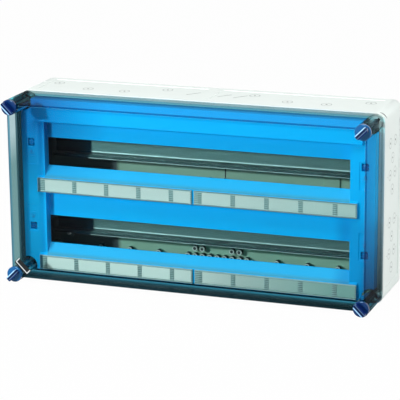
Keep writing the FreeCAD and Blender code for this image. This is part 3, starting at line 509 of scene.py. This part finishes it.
# A painted blue reflection on the bottom wall near the cover.
BOTTOM_PAINTED_REFLECTION = (0.05, 0.32, 0.44, 1)
BOTTOM_RIGHT_PAINTED_SHADOW = (0.004, 0.02, 0.026, 1)
PANE_BACK = -0.168
LEAN_X = 0.364
LEAN_Z = 0.285
WALL_X_SPAN = (0.2879, 0.2881)
WALL_Z_SPAN = (0.1379, 0.1381)
EDGE_SPAN = (-0.1675, -0.1685)
CLEAR_WALL_SPAN = (-0.25, -0.2)
LEFT_SPAN = (-0.284, -0.286)
LEFT_FOOT_SPAN = (-0.136, -0.134)
BOTTOM_SPAN = (-0.1365, -0.1375)
BOTTOM_SHADOW_SPAN = (-0.25, 0.28)
REFLECTION_SPAN = (-0.138, -0.128)
RIGHT_SPAN = (0.283, 0.286)
RIGHT_FOOT_SPAN = (-0.155, -0.105)
RIGHT_LOW_SPAN = (0, -0.125)
RIGHT_LOW_STRENGTH = 0.7
TOP_SPAN = (0.1365, 0.1375)
TOP_FOOT_SPAN = (-0.108, -0.109)
TOP_SHADOW_SPAN = (-0.1185, -0.116)
CLEAR_BENDING = 1.5
CLEAR_MIRROR = (0.05, 0.06, 0.07, 1)
CLEAR_SHEEN = (0.1, 0.11, 0.12, 1)
SMEAR_SCALE = 9
SMEAR_ROUGHNESS = 0.02
TWO_FACES_ROOT = 0.5


def make_smoke_group():
    """The smoke tint of the lid: light on the pane, darker in the walls, near black at the left foot, and
    darker towards the bottom of the right wall. Painted in it are painted shade as a dark line along the
    pane's edges, painted shadow along the bottom wall, darkest to the right, a painted shadow line on the
    top wall near its foot, and a painted blue reflection on the bottom wall near the cover.

    In the pane's thickness the walls' mask leans aside, so that it ends where the walls are seen to end.
    Pass is the root of the tint, because light that goes straight on crosses a wall's two faces.
    """
    outputs = [("Tint", "NodeSocketColor"), ("Pass", "NodeSocketColor"), ("Wall", "NodeSocketFloat")]
    group, end = new_group("lid_smoke", [], outputs)
    x, y, z = add_place(group)
    into_pane = add_math(group, "MINIMUM", add_math(group, "SUBTRACT", y, PANE_BACK), 0)
    seen_x = add_off(group, add_math(group, "ADD", x, add_product(group, into_pane, LEAN_X)))
    seen_z = add_off(group, add_math(group, "ADD", z, add_product(group, into_pane, LEAN_Z)))
    wall = add_most(group, add_span(group, seen_x, *WALL_X_SPAN), add_span(group, seen_z, *WALL_Z_SPAN))
    edge = add_product(group, wall, add_span(group, y, *EDGE_SPAN))
    clearer = add_span(group, add_math(group, "ADD", x, z), *CLEAR_WALL_SPAN)
    left_foot = add_product(group, add_span(group, x, *LEFT_SPAN), add_span(group, y, *LEFT_FOOT_SPAN))
    bottom = add_span(group, z, *BOTTOM_SPAN)
    bottom_right_shadow = add_product(group, bottom, add_span(group, x, *BOTTOM_SHADOW_SPAN))
    painted_reflection = add_product(group, bottom, add_span(group, y, *REFLECTION_SPAN))
    right = add_span(group, x, *RIGHT_SPAN)
    right_foot = add_span(group, y, *RIGHT_FOOT_SPAN)
    right_low = add_product(group, add_span(group, z, *RIGHT_LOW_SPAN), RIGHT_LOW_STRENGTH)
    right_tint = add_blend(group, right_foot, RIGHT_WALL_TINT, RIGHT_FOOT_TINT)
    right_tint = add_blend(group, right_low, right_tint, RIGHT_LOW_TINT)
    top = add_product(group, add_span(group, z, *TOP_SPAN), add_span(group, y, *TOP_FOOT_SPAN))
    top_shadow = add_product(group, top, add_span(group, y, *TOP_SHADOW_SPAN))
    wall_tint = add_blend(group, clearer, WALL_TINT, CLEAR_WALL_TINT)
    wall_tint = add_blend(group, top, wall_tint, TOP_WALL_TINT)
    wall_tint = add_blend(group, top_shadow, wall_tint, TOP_PAINTED_SHADOW)
    tint = add_blend(group, wall, PANE_TINT, add_blend(group, right, wall_tint, right_tint))
    tint = add_blend(group, edge, tint, EDGE_PAINTED_SHADE)
    tint = add_blend(group, add_most(group, left_foot, bottom), tint, FOOT_DARK_AND_BOTTOM_PAINTED_SHADOW)
    tint = add_blend(group, bottom_right_shadow, tint, BOTTOM_RIGHT_PAINTED_SHADOW)
    tint = add_blend(group, painted_reflection, tint, BOTTOM_PAINTED_REFLECTION)
    root = group.nodes.new("ShaderNodeGamma")
    root.inputs["Gamma"].default_value = TWO_FACES_ROOT
    group.links.new(tint, root.inputs["Color"])
    group.links.new(tint, end.inputs["Tint"])
    group.links.new(root.outputs["Color"], end.inputs["Pass"])
    group.links.new(wall, end.inputs["Wall"])
    return group


def mix_shaders(tree, share, first, second):
    """Two shaders mixed by a share, as a socket."""
    mix = tree.nodes.new("ShaderNodeMixShader")
    tree.links.new(share, mix.inputs["Fac"])
    tree.links.new(first, mix.inputs[1])
    tree.links.new(second, mix.inputs[2])
    return mix.outputs["Shader"]


def clear_plastic(name, tint_group):
    """A bending, mirroring pane. Walls, and shadows of it all, let light through tinted and straight."""
    material, tree, shader = new_material(name)
    link = tree.links.new
    smoke = add_group(tree, tint_group)
    link(smoke.outputs["Tint"], shader.inputs["Base Color"])
    shader.inputs["IOR"].default_value = CLEAR_BENDING
    shader.inputs["Transmission Weight"].default_value = 1
    shader.inputs["Specular Tint"].default_value = CLEAR_MIRROR
    place = tree.nodes.new("ShaderNodeTexCoord")
    smears = tree.nodes.new("ShaderNodeTexNoise")
    smears.inputs["Scale"].default_value = SMEAR_SCALE
    gloss = tree.nodes.new("ShaderNodeMapRange")
    gloss.inputs["To Min"].default_value = 0
    gloss.inputs["To Max"].default_value = SMEAR_ROUGHNESS
    link(place.outputs["Object"], smears.inputs["Vector"])
    link(smears.outputs["Fac"], gloss.inputs["Value"])
    link(gloss.outputs["Result"], shader.inputs["Roughness"])
    passing = tree.nodes.new("ShaderNodeBsdfTransparent")
    link(smoke.outputs["Pass"], passing.inputs["Color"])
    path = tree.nodes.new("ShaderNodeLightPath")
    shaded = add_most(tree, path.outputs["Is Shadow Ray"], path.outputs["Is Diffuse Ray"])
    sheen = tree.nodes.new("ShaderNodeBsdfGlossy")
    sheen.inputs["Color"].default_value = CLEAR_SHEEN
    link(gloss.outputs["Result"], sheen.inputs["Roughness"])
    slant = tree.nodes.new("ShaderNodeFresnel")
    geometry = tree.nodes.new("ShaderNodeNewGeometry")
    outward = add_math(tree, "SUBTRACT", 1, geometry.outputs["Backfacing"])
    glint = add_product(tree, slant.outputs["Fac"], outward)
    wall_face = mix_shaders(tree, glint, passing.outputs["BSDF"], sheen.outputs["BSDF"])
    face = mix_shaders(tree, smoke.outputs["Wall"], shader.outputs["BSDF"], wall_face)
    whole = mix_shaders(tree, shaded, face, passing.outputs["BSDF"])
    link(whole, tree.nodes["Material Output"].inputs["Surface"])
    return material


lid_clear = clear_plastic("lid_clear", make_smoke_group())
dress(nodes["lid"], lid_clear)

# Lid fasteners: dark blue quarter-turn knobs of glass-filled plastic with a grip bar on the diagonal.
# Their long shanks go down the lid's towers and lock under the ledges of the base.

KNOB_DISC = (0.006, 0.095, 0.27, 1)
# Painted shade: the darker disc of two knobs, the grip bars' faces and the shanks down the towers.
KNOB_DISC_PAINTED_SHADE = (0.001, 0.02, 0.11, 1)
KNOB_GRIP_PAINTED_SHADE = (0.0005, 0.009, 0.09, 1)
# A painted highlight on the grip's lit edges.
KNOB_PAINTED_HIGHLIGHT = (0.4, 0.7, 1, 1)
KNOB_SHANK_PAINTED_SHADE = (0.002, 0.008, 0.02, 1)
KNOB_MIRROR = (0.45, 0.8, 1, 1)
DIAGONAL = math.sqrt(0.5)
GRIP_FRONT_SPAN = (-0.1775, -0.179)
GRIP_EDGE_SPAN = (0.0023, 0.0029)
GRIP_GROOVE = -0.0014
GRIP_GROOVE_SPAN = (0.0008, 0.0004)
GRIP_GROOVE_STRENGTH = 0.2
SHANK_SPAN = (-0.1712, -0.1705)
SHADED_PAIR_SPAN = (0.01, -0.01)
CORNER_NAMES = ["top_left", "top_right", "bottom_left", "bottom_right"]


def make_knob_group():
    """A knob's tones: painted shade on the grip bar's face, painted highlights as bright lines on its left
    half, and painted shade on the shank.

    Two of the knobs, on one diagonal of the lid, have painted shade that makes their discs a darker blue
    than the others'.
    """
    group, end = new_group("knob_tones", [], value_sockets("Grip", "Highlight", "Shank", "Shaded pair"))
    x, y, z = add_place(group)
    outward = add_math(group, "SUBTRACT", add_off(group, x), COLUMN_X)
    away = add_math(group, "SUBTRACT", add_off(group, z), COLUMN_Z)
    lean = add_product(group, add_math(group, "SUBTRACT", away, outward), DIAGONAL)
    leftward = add_product(group, lean, add_math(group, "SIGN", x))
    front = add_span(group, y, *GRIP_FRONT_SPAN)
    rim = add_span(group, leftward, *GRIP_EDGE_SPAN)
    groove = add_span(group, add_off(group, leftward, GRIP_GROOVE), *GRIP_GROOVE_SPAN)
    groove = add_product(group, groove, GRIP_GROOVE_STRENGTH)
    edge = add_product(group, add_most(group, rim, groove), front)
    shaded_pair = add_span(group, add_product(group, x, z), *SHADED_PAIR_SPAN)
    group.links.new(front, end.inputs["Grip"])
    group.links.new(edge, end.inputs["Highlight"])
    group.links.new(add_span(group, y, *SHANK_SPAN), end.inputs["Shank"])
    group.links.new(shaded_pair, end.inputs["Shaded pair"])
    return group


def toned_plastic(name, mask_group, ground, tones, gloss, grain):
    """A moulded plastic whose ground colour goes over to other tones where a group's masks say."""
    material, tree, shader = new_material(name)
    surface = add_moulded(tree, shader, gloss, grain)
    tone = add_tones(tree, add_group(tree, mask_group), ground, tones)
    tree.links.new(tone, surface.inputs["Colour"])
    tree.links.new(tone, surface.inputs["Shade"])
    return material


knob_tones = (
    ("Shaded pair", KNOB_DISC_PAINTED_SHADE),
    ("Grip", KNOB_GRIP_PAINTED_SHADE),
    ("Highlight", KNOB_PAINTED_HIGHLIGHT),
    ("Shank", KNOB_SHANK_PAINTED_SHADE),
)
knob_look = (make_knob_group(), KNOB_DISC, knob_tones)
knob_blue = toned_plastic("knob_blue", *knob_look, gloss=(0.12, 0.2), grain=0.1)
knob_shader = knob_blue.node_tree.nodes["Principled BSDF"]
knob_shader.inputs["Specular Tint"].default_value = KNOB_MIRROR
for corner in CORNER_NAMES:
    dress(nodes["fastener_" + corner], knob_blue)
    soften(nodes["fastener_" + corner], EDGE_ROUND)

# Device cover: a bright blue moulding with a satin face, which hides the wiring round the breakers.
# It has a window for each row, a ridge at the top and a sloped sill with a ledge below each window.

COVER_BLUE = (0.002, 0.47, 0.92, 1)
COVER_SHADE = (0.002, 0.44, 0.88, 1)
# Painted shade on the upper left and the right side, and on the sills, darkest along their feet.
COVER_PAINTED_SHADE = (0.0002, 0.1, 0.33, 1)
COVER_SILL_PAINTED_SHADE = (0.03, 0.43, 0.74, 1)
COVER_LIP_PAINTED_SHADE = (0.08, 0.32, 0.42, 1)
COVER_MIRROR = (0.1, 0.6, 1, 1)
COVER_MIRROR_LEVEL = 0.25
LEFT_DIM_SPAN = (-0.14, -0.26)
UPPER_DIM_SPAN = (-0.02, 0.095)
LEFT_DIM_STRENGTH = 0.85
STRIP_DIM_SPAN = (0.222, 0.24)
STRIP_LOW_SPAN = (0.01, -0.03)
STRIP_DIM_STRENGTH = 0.38
FLANK_DIM_SPAN = (0.255, 0.275)
FLANK_LOW_SPAN = (0.03, -0.13)
FLANK_DIM_STRENGTH = 0.8
SILL_TOP = 0.1587
ROW_PITCH = 0.1284
SILL_END_SPAN = (0.2521, 0.2519)
SILL_FACE_SPAN = (-0.1062, -0.1064)
SILL_FOOT_SPAN = (0.0169, 0.0167)
LIP_SPAN = (0.0115, 0.0165)


def make_cover_group():
    """Painted shade on the cover: at its upper left, down its right side, and paler on the two sills."""
    group, end = new_group("cover_tones", [], value_sockets("Dim", "Sill", "Lip"))
    x, y, z = add_place(group)
    left = add_product(group, add_span(group, x, *LEFT_DIM_SPAN), add_span(group, z, *UPPER_DIM_SPAN))
    left = add_product(group, left, LEFT_DIM_STRENGTH)
    strip = add_product(group, add_span(group, x, *STRIP_DIM_SPAN), add_span(group, z, *STRIP_LOW_SPAN))
    strip = add_product(group, strip, STRIP_DIM_STRENGTH)
    flank = add_product(group, add_span(group, x, *FLANK_DIM_SPAN), add_span(group, z, *FLANK_LOW_SPAN))
    flank = add_product(group, flank, FLANK_DIM_STRENGTH)
    drop = add_math(group, "MODULO", add_math(group, "SUBTRACT", SILL_TOP, z), ROW_PITCH)
    between = add_span(group, add_off(group, x), *SILL_END_SPAN)
    slope = add_product(group, between, add_span(group, y, *SILL_FACE_SPAN))
    sill = add_product(group, slope, add_span(group, drop, *SILL_FOOT_SPAN))
    lip = add_product(group, sill, add_span(group, drop, *LIP_SPAN))
    group.links.new(add_most(group, left, strip, flank), end.inputs["Dim"])
    group.links.new(sill, end.inputs["Sill"])
    group.links.new(lip, end.inputs["Lip"])
    return group


cover_blue, cover_tree, cover_shader = new_material("cover_blue")
cover_surface = add_moulded(cover_tree, cover_shader, gloss=(0.42, 0.55), grain=0.25)
cover_masks = add_group(cover_tree, make_cover_group())
cover_tones = (("Sill", COVER_SILL_PAINTED_SHADE), ("Lip", COVER_LIP_PAINTED_SHADE), ("Dim", COVER_PAINTED_SHADE))
for socket, bright in (("Colour", COVER_BLUE), ("Shade", COVER_SHADE)):
    cover_tone = add_tones(cover_tree, cover_masks, bright, cover_tones)
    cover_tree.links.new(cover_tone, cover_surface.inputs[socket])
cover_shader.inputs["Specular IOR Level"].default_value = COVER_MIRROR_LEVEL
cover_shader.inputs["Specular Tint"].default_value = COVER_MIRROR
dress(nodes["device_cover"], cover_blue)
soften(nodes["device_cover"], EDGE_ROUND)

# Cover latches: small slotted quarter-turn studs of darker blue plastic, sunk in square wells.
# Each holds the device cover to a post of the base.

LATCH_BLUE = (0.001, 0.15, 0.4, 1)
LATCH_SHADE = (0.001, 0.12, 0.36, 1)
LATCH_ROUND = 0.0003

latch_plastic = moulded_plastic("latch_plastic", LATCH_BLUE, LATCH_SHADE, gloss=(0.4, 0.5), grain=0.1)
latch_shader = latch_plastic.node_tree.nodes["Principled BSDF"]
latch_shader.inputs["Specular IOR Level"].default_value = COVER_MIRROR_LEVEL
latch_shader.inputs["Specular Tint"].default_value = COVER_MIRROR
for corner in CORNER_NAMES:
    dress(nodes["cover_latch_" + corner], latch_plastic)
    soften(nodes["cover_latch_" + corner], LATCH_ROUND)

# Latch marks: a small sunken triangle and line beside each latch, towards the cover's middle.
# They're moulded in the blue cover and show which way the latch turns. Their darker blue is painted shade
# in the sunken marks.

MARK_PAINTED_SHADE = (0.001, 0.09, 0.3, 1)
MARK_PAINTED_SHADE_CLOUD = (0.001, 0.07, 0.26, 1)
MARK_X = 0.275
MARK_LEVEL = -0.1192
MARK_TIP = 0.0565
MARK_ROOT = 0.0535
MARK_REACH = 0.0022
LINE_OUTER = 0.0512
LINE_INNER = 0.0505
LINE_REACH = 0.004

mark_mesh = bmesh.new()
for x_side in (-1, 1):
    for z_side in (-1, 1):
        x = x_side * MARK_X
        tip = z_side * MARK_TIP
        root = z_side * MARK_ROOT
        triangle = [(x, tip), (x - MARK_REACH, root), (x + MARK_REACH, root)]
        inner = z_side * LINE_INNER
        outer = z_side * LINE_OUTER
        line = [(x - LINE_REACH, inner), (x + LINE_REACH, inner)]
        line += [(x + LINE_REACH, outer), (x - LINE_REACH, outer)]
        for corners in (triangle, line):
            points = [mark_mesh.verts.new((across, MARK_LEVEL, height)) for across, height in corners]
            mark_mesh.faces.new(points)
latch_marks = new_piece("latch_marks", mark_mesh, "enclosure")
latch_mark_shade = moulded_plastic("latch_mark_shade", MARK_PAINTED_SHADE, MARK_PAINTED_SHADE_CLOUD, gloss=(0.5, 0.6))
dress(latch_marks, latch_mark_shade)

# Mounting rails: top-hat rails rolled from steel strip, zinc plated and passivated.
# The breakers clip on them, and each rail lies on two pillars of the base.

RAIL_FACE = (0.08, 0.15, 0.14, 1)
RAIL_SHADE = (0.06, 0.12, 0.11, 1)
# Painted highlights on the edges, painted shade on the step and painted shadow over the left end.
RAIL_PAINTED_HIGHLIGHT = (0.42, 0.55, 0.52, 1)
RAIL_STEP_PAINTED_SHADE = (0.015, 0.035, 0.035, 1)
RAIL_END_PAINTED_SHADOW = (0.002, 0.008, 0.013, 1)
STREAK_STRETCH = (3, 400, 400)
STREAK_SCALE = 3
STREAK_DETAIL = 6
RAIL_GLOSS = (0.35, 0.55)
STREAK_STRENGTH = 0.15
STREAK_HEIGHT = 0.0002
UPPER_RAIL_Z = 0.0533
LOWER_RAIL_Z = -0.0751
RAIL_OUTER_SPAN = (0.0162, 0.0167)
RAIL_LIP_SPAN = (-0.062, -0.0635)
ROLL_LINE = 0.0094
ROLL_LINE_SPAN = (0.001, 0.0006)
RAIL_STEP_SPAN = (0.01, 0.0108)
RAIL_STEP_STRENGTH = 0.8
RAIL_END_SPAN = (-0.197, -0.201)
RAIL_ROUND = 0.0003


def make_rolled_group():
    """The long faint streaks and cloudy sheen of rolled and plated strip."""
    inputs = [("Colour", "NodeSocketColor"), ("Shade", "NodeSocketColor")]
    outputs = [("Colour", "NodeSocketColor"), ("Roughness", "NodeSocketFloat")]
    outputs += [("Normal", "NodeSocketVector")]
    group, end = new_group("rolled_metal", inputs, outputs)
    start = group.nodes.new("NodeGroupInput")
    link = group.links.new
    place = group.nodes.new("ShaderNodeTexCoord")
    stretch = group.nodes.new("ShaderNodeMapping")
    stretch.inputs["Scale"].default_value = STREAK_STRETCH
    streaks = group.nodes.new("ShaderNodeTexNoise")
    streaks.inputs["Scale"].default_value = STREAK_SCALE
    streaks.inputs["Detail"].default_value = STREAK_DETAIL
    link(place.outputs["Object"], stretch.inputs["Vector"])
    link(stretch.outputs["Vector"], streaks.inputs["Vector"])
    tone = group.nodes.new("ShaderNodeMix")
    tone.data_type = "RGBA"
    link(streaks.outputs["Fac"], tone.inputs["Factor"])
    link(start.outputs["Colour"], tone.inputs["A"])
    link(start.outputs["Shade"], tone.inputs["B"])
    gloss = group.nodes.new("ShaderNodeMapRange")
    gloss.inputs["To Min"].default_value = RAIL_GLOSS[0]
    gloss.inputs["To Max"].default_value = RAIL_GLOSS[1]
    link(streaks.outputs["Fac"], gloss.inputs["Value"])
    bump = group.nodes.new("ShaderNodeBump")
    bump.inputs["Strength"].default_value = STREAK_STRENGTH
    bump.inputs["Distance"].default_value = STREAK_HEIGHT
    link(streaks.outputs["Fac"], bump.inputs["Height"])
    link(tone.outputs["Result"], end.inputs["Colour"])
    link(gloss.outputs["Result"], end.inputs["Roughness"])
    link(bump.outputs["Normal"], end.inputs["Normal"])
    return group


def make_rail_paint_group():
    """Painted light on the rails: highlights on a web roll line and the lips' edges, step shade, end
    shadow.
    """
    group, end = new_group("rail_painted_light", [], value_sockets("Highlight", "Shadowed", "End"))
    x, y, z = add_place(group)
    reach = add_math(group, "MINIMUM", add_off(group, z, UPPER_RAIL_Z), add_off(group, z, LOWER_RAIL_Z))
    lip = add_product(group, add_span(group, reach, *RAIL_OUTER_SPAN), add_span(group, y, *RAIL_LIP_SPAN))
    line = add_span(group, add_off(group, reach, ROLL_LINE), *ROLL_LINE_SPAN)
    step = add_product(group, add_span(group, reach, *RAIL_STEP_SPAN), RAIL_STEP_STRENGTH)
    group.links.new(add_most(group, line, lip), end.inputs["Highlight"])
    group.links.new(step, end.inputs["Shadowed"])
    group.links.new(add_span(group, x, *RAIL_END_SPAN), end.inputs["End"])
    return group


rail_steel, rail_tree, rail_shader = new_material("rail_steel")
rolled = add_group(rail_tree, make_rolled_group())
rail_masks = add_group(rail_tree, make_rail_paint_group())
rail_tones = (("Shadowed", RAIL_STEP_PAINTED_SHADE), ("Highlight", RAIL_PAINTED_HIGHLIGHT), ("End", RAIL_END_PAINTED_SHADOW))
for socket, face in (("Colour", RAIL_FACE), ("Shade", RAIL_SHADE)):
    rail_tone = add_tones(rail_tree, rail_masks, face, rail_tones)
    rail_tree.links.new(rail_tone, rolled.inputs[socket])
rail_shader.inputs["Metallic"].default_value = 1
wire_surface(rail_tree, rolled, rail_shader)
for row in ("upper", "lower"):
    dress(nodes["din_rail_" + row], rail_steel)
    soften(nodes["din_rail_" + row], RAIL_ROUND)

# Label strips: four alike mouldings of pale translucent plastic, clipped on the ledges end to end.
# Each has five sunken fields for cards, with ribbed dividers between them.

STRIP_PLASTIC = (0.34, 0.46, 0.42, 1)
# Painted shade in the grooves and in the open pocket at a row's left end.
STRIP_GROOVE_PAINTED_SHADE = (0.1, 0.18, 0.17, 1)
STRIP_POCKET_PAINTED_SHADE = (0.03, 0.09, 0.11, 1)
GROOVES_PER_METRE = 330
GROOVE_SPAN = (0.28, 0.33)
STRIP_FACE_SPAN = (-0.1232, -0.1236)
POCKET_SPANS = ((-0.2635, -0.263), (-0.2585, -0.259))
STRIP_ROUND = 0.0002


def make_strip_mark_group():
    """Painted shade as fine level grooves on the strips' faces, and in the open pocket at a row's left
    end.
    """
    group, end = new_group("strip_marks", [], value_sockets("Groove", "End"))
    x, y, z = add_place(group)
    turn = add_math(group, "FRACT", add_product(group, z, GROOVES_PER_METRE))
    rib = add_span(group, add_off(group, turn, 0.5), *GROOVE_SPAN)
    face = add_span(group, y, *STRIP_FACE_SPAN)
    pocket = add_product(group, *[add_span(group, x, *end_span) for end_span in POCKET_SPANS])
    group.links.new(add_product(group, rib, face), end.inputs["Groove"])
    group.links.new(add_product(group, pocket, face), end.inputs["End"])
    return group


strip_marks = make_strip_mark_group()
strip_tones = (("Groove", STRIP_GROOVE_PAINTED_SHADE), ("End", STRIP_POCKET_PAINTED_SHADE))
strip_look = (strip_marks, STRIP_PLASTIC, strip_tones)
strip_plastic = toned_plastic("strip_plastic", *strip_look, gloss=(0.35, 0.5), grain=0.15)
for row in ("upper", "lower"):
    for hand in ("left", "right"):
        dress(nodes[f"label_strip_{row}_{hand}"], strip_plastic)
        soften(nodes[f"label_strip_{row}_{hand}"], STRIP_ROUND)

# Label cards: five blank cards of pale matt paper in the fields of each strip.
# They're slid in from the end and are held by the strip's edges.

CARD_FACE = (0.57, 0.62, 0.55, 1)
# Painted light at the lower left and painted shade towards the right.
CARD_PAINTED_LIGHT = (0.72, 0.81, 0.71, 1)
CARD_PAINTED_SHADE = (0.16, 0.36, 0.3, 1)
LOWER_CARDS_SPAN = (0, -0.05)
CARD_LIT_SPAN = (0.08, -0.05)
CARD_DIM_SPAN = (0, 0.24)
CARD_DIM_STRENGTH = 0.28
LOWER_DIM_STRENGTH = 0.55


def make_card_group():
    """The cards' tones: painted light at the lower left, and painted shade towards the right of each row.
    """
    group, end = new_group("card_tones", [], value_sockets("Lit", "Dim"))
    x, z = add_place(group, "XZ")
    lower = add_span(group, z, *LOWER_CARDS_SPAN)
    lit = add_product(group, lower, add_span(group, x, *CARD_LIT_SPAN))
    strength = add_math(group, "ADD", CARD_DIM_STRENGTH, add_product(group, lower, LOWER_DIM_STRENGTH))
    dim = add_product(group, strength, add_span(group, x, *CARD_DIM_SPAN))
    group.links.new(lit, end.inputs["Lit"])
    group.links.new(dim, end.inputs["Dim"])
    return group


card_tones = (("Lit", CARD_PAINTED_LIGHT), ("Dim", CARD_PAINTED_SHADE))
card_look = (make_card_group(), CARD_FACE, card_tones)
card_paper = toned_plastic("card_paper", *card_look, gloss=(0.7, 0.85), grain=0.2)
for row in ("upper", "lower"):
    for hand in ("left", "right"):
        dress(nodes[f"label_cards_{row}_{hand}"], card_paper)

# Label plate: a small black plastic plate set across the lid's lower left corner.
# A pale printed frame runs round it, and the field inside is bare.

PLATE_BLACK = (0.006, 0.008, 0.009, 1)
PLATE_PRINT = (0.75, 0.8, 0.8, 1)
PLATE_X = -0.2715
PLATE_Z = -0.1215
PLATE_LENGTHENED = 0.0085
FRAME_REACH = 0.0042
FRAME_SPAN = (0.0007, 0.0005)
PLATE_MIRROR_LEVEL = 0.2


def make_plate_print_group():
    """The pale frame, measured along and across the plate, which stands on the diagonal."""
    group, end = new_group("plate_print", [], value_sockets("Print"))
    x, z = add_place(group, "XZ")
    right = add_math(group, "SUBTRACT", x, PLATE_X)
    up = add_math(group, "SUBTRACT", z, PLATE_Z)
    along = add_off(group, add_product(group, add_math(group, "SUBTRACT", right, up), DIAGONAL))
    across = add_off(group, add_product(group, add_math(group, "ADD", right, up), DIAGONAL))
    reach = add_most(group, add_math(group, "SUBTRACT", along, PLATE_LENGTHENED), across)
    group.links.new(add_span(group, add_off(group, reach, FRAME_REACH), *FRAME_SPAN), end.inputs["Print"])
    return group


plate_print = make_plate_print_group()
plate_tones = (("Print", PLATE_PRINT),)
plate_look = (plate_print, PLATE_BLACK, plate_tones)
plate_plastic = toned_plastic("plate_plastic", *plate_look, gloss=(0.5, 0.65), grain=0.2)
plate_shader = plate_plastic.node_tree.nodes["Principled BSDF"]
plate_shader.inputs["Specular IOR Level"].default_value = PLATE_MIRROR_LEVEL
dress(nodes["label_plate"], plate_plastic)

# Floor: a plain pale studio floor that runs out of sight and keeps only a soft shadow.
# It glows white where it is seen straight, through the clear lid or in a mirror, and lights nothing.

FLOOR_LEVEL = -0.1502
FLOOR_REACH = 12
FLOOR_GREY = (0.5, 0.5, 0.5, 1)
FLOOR_ROUGHNESS = 0.9
FLOOR_GLOW = 0.985


def add_seen(tree):
    """1 for the rays that show a background, straight, through something clear or in a mirror."""
    path = tree.nodes.new("ShaderNodeLightPath")
    rays = ("Is Camera Ray", "Is Transmission Ray", "Is Glossy Ray")
    return add_most(tree, *[path.outputs[ray] for ray in rays])


floor_mesh = bpy.data.meshes.new("studio_floor")
floor_sides = ((-1, -1), (1, -1), (1, 1), (-1, 1))
floor_corners = [(x * FLOOR_REACH, y * FLOOR_REACH, FLOOR_LEVEL) for x, y in floor_sides]
floor_mesh.from_pydata(floor_corners, [], [(0, 1, 2, 3)])
floor = bpy.data.objects.new("studio_floor", floor_mesh)
bpy.context.scene.collection.objects.link(floor)
floor_material, floor_tree, floor_shader = new_material("studio_floor")
floor_shader.inputs["Base Color"].default_value = FLOOR_GREY
floor_shader.inputs["Roughness"].default_value = FLOOR_ROUGHNESS
floor_glow = floor_tree.nodes.new("ShaderNodeEmission")
glow_share = add_product(floor_tree, add_seen(floor_tree), FLOOR_GLOW)
floor_shaders = (floor_shader.outputs["BSDF"], floor_glow.outputs["Emission"])
floor_face = mix_shaders(floor_tree, glow_share, *floor_shaders)
floor_tree.links.new(floor_face, floor_tree.nodes["Material Output"].inputs["Surface"])
floor_mesh.materials.append(floor_material)

# Studio light: a small key lamp from the front left, soft boxes above and to the right,
# and a weak even light all round. The background is white where it is seen.

WORLD_TINT = (0.9, 0.97, 1, 1)
WORLD_STRENGTH = 0.09
WORLD_WHITE = (1, 1, 1, 1)

world = bpy.data.worlds.new("studio")
bpy.context.scene.world = world
world.use_nodes = True
world_tree = world.node_tree
world_light = world_tree.nodes["Background"]
world_light.inputs["Color"].default_value = WORLD_TINT
world_light.inputs["Strength"].default_value = WORLD_STRENGTH
world_white = world_tree.nodes.new("ShaderNodeBackground")
world_white.inputs["Color"].default_value = WORLD_WHITE
world_shaders = (world_light.outputs["Background"], world_white.outputs["Background"])
world_face = mix_shaders(world_tree, add_seen(world_tree), *world_shaders)
world_tree.links.new(world_face, world_tree.nodes["World Output"].inputs["Surface"])


def add_lamp(name, place, aim, size, power):
    """A square area lamp at a place, turned to a point, with its size in metres and its power in watts."""
    data = bpy.data.lights.new(name, "AREA")
    data.size = size
    data.energy = power
    lamp = bpy.data.objects.new(name, data)
    lamp.location = place
    lamp.rotation_euler = (Vector(aim) - Vector(place)).to_track_quat("-Z", "Y").to_euler()
    bpy.context.scene.collection.objects.link(lamp)


add_lamp("key_lamp", place=(-1.76, -2.62, 0.88), aim=(0, -0.1, 0), size=0.15, power=92)
add_lamp("top_box", place=(0, -1.22, 2.3), aim=(0, -0.05, 0), size=1.0, power=47)
add_lamp("right_box", place=(2.4, 0.3, 0.6), aim=(0.3, -0.03, 0), size=1.2, power=35)

# Camera: at the photograph's angle, from the right of the front and a little above.
# It stands about three metres away with a long lens, and leans a little to one side.

CAMERA_AZIMUTH = math.radians(20.188)
CAMERA_ELEVATION = math.radians(15.033)
CAMERA_ROLL = math.radians(-0.592)
CAMERA_TARGET = Vector((-0.002188, -0.085, -0.012893))
CAMERA_DISTANCE = 3.0866
CAMERA_LENS = 176.5
CAMERA_REACH = 50

backward = Vector((
    math.sin(CAMERA_AZIMUTH) * math.cos(CAMERA_ELEVATION),
    -math.cos(CAMERA_AZIMUTH) * math.cos(CAMERA_ELEVATION),
    math.sin(CAMERA_ELEVATION),
))
level_right = (-backward).cross(UP).normalized()
level_up = level_right.cross(-backward)
camera_right = level_right * math.cos(CAMERA_ROLL) + level_up * math.sin(CAMERA_ROLL)
camera_up = level_up * math.cos(CAMERA_ROLL) - level_right * math.sin(CAMERA_ROLL)
camera_data = bpy.data.cameras.new("photo_camera")
camera_data.lens = CAMERA_LENS
camera_data.clip_end = CAMERA_REACH
camera = bpy.data.objects.new("photo_camera", camera_data)
bpy.context.scene.collection.objects.link(camera)
camera_turn = Matrix((camera_right, camera_up, backward)).transposed()
camera.location = CAMERA_TARGET + backward * CAMERA_DISTANCE
camera.rotation_euler = camera_turn.to_euler()
bpy.context.scene.camera = camera
bpy.context.scene.view_settings.view_transform = "Standard"
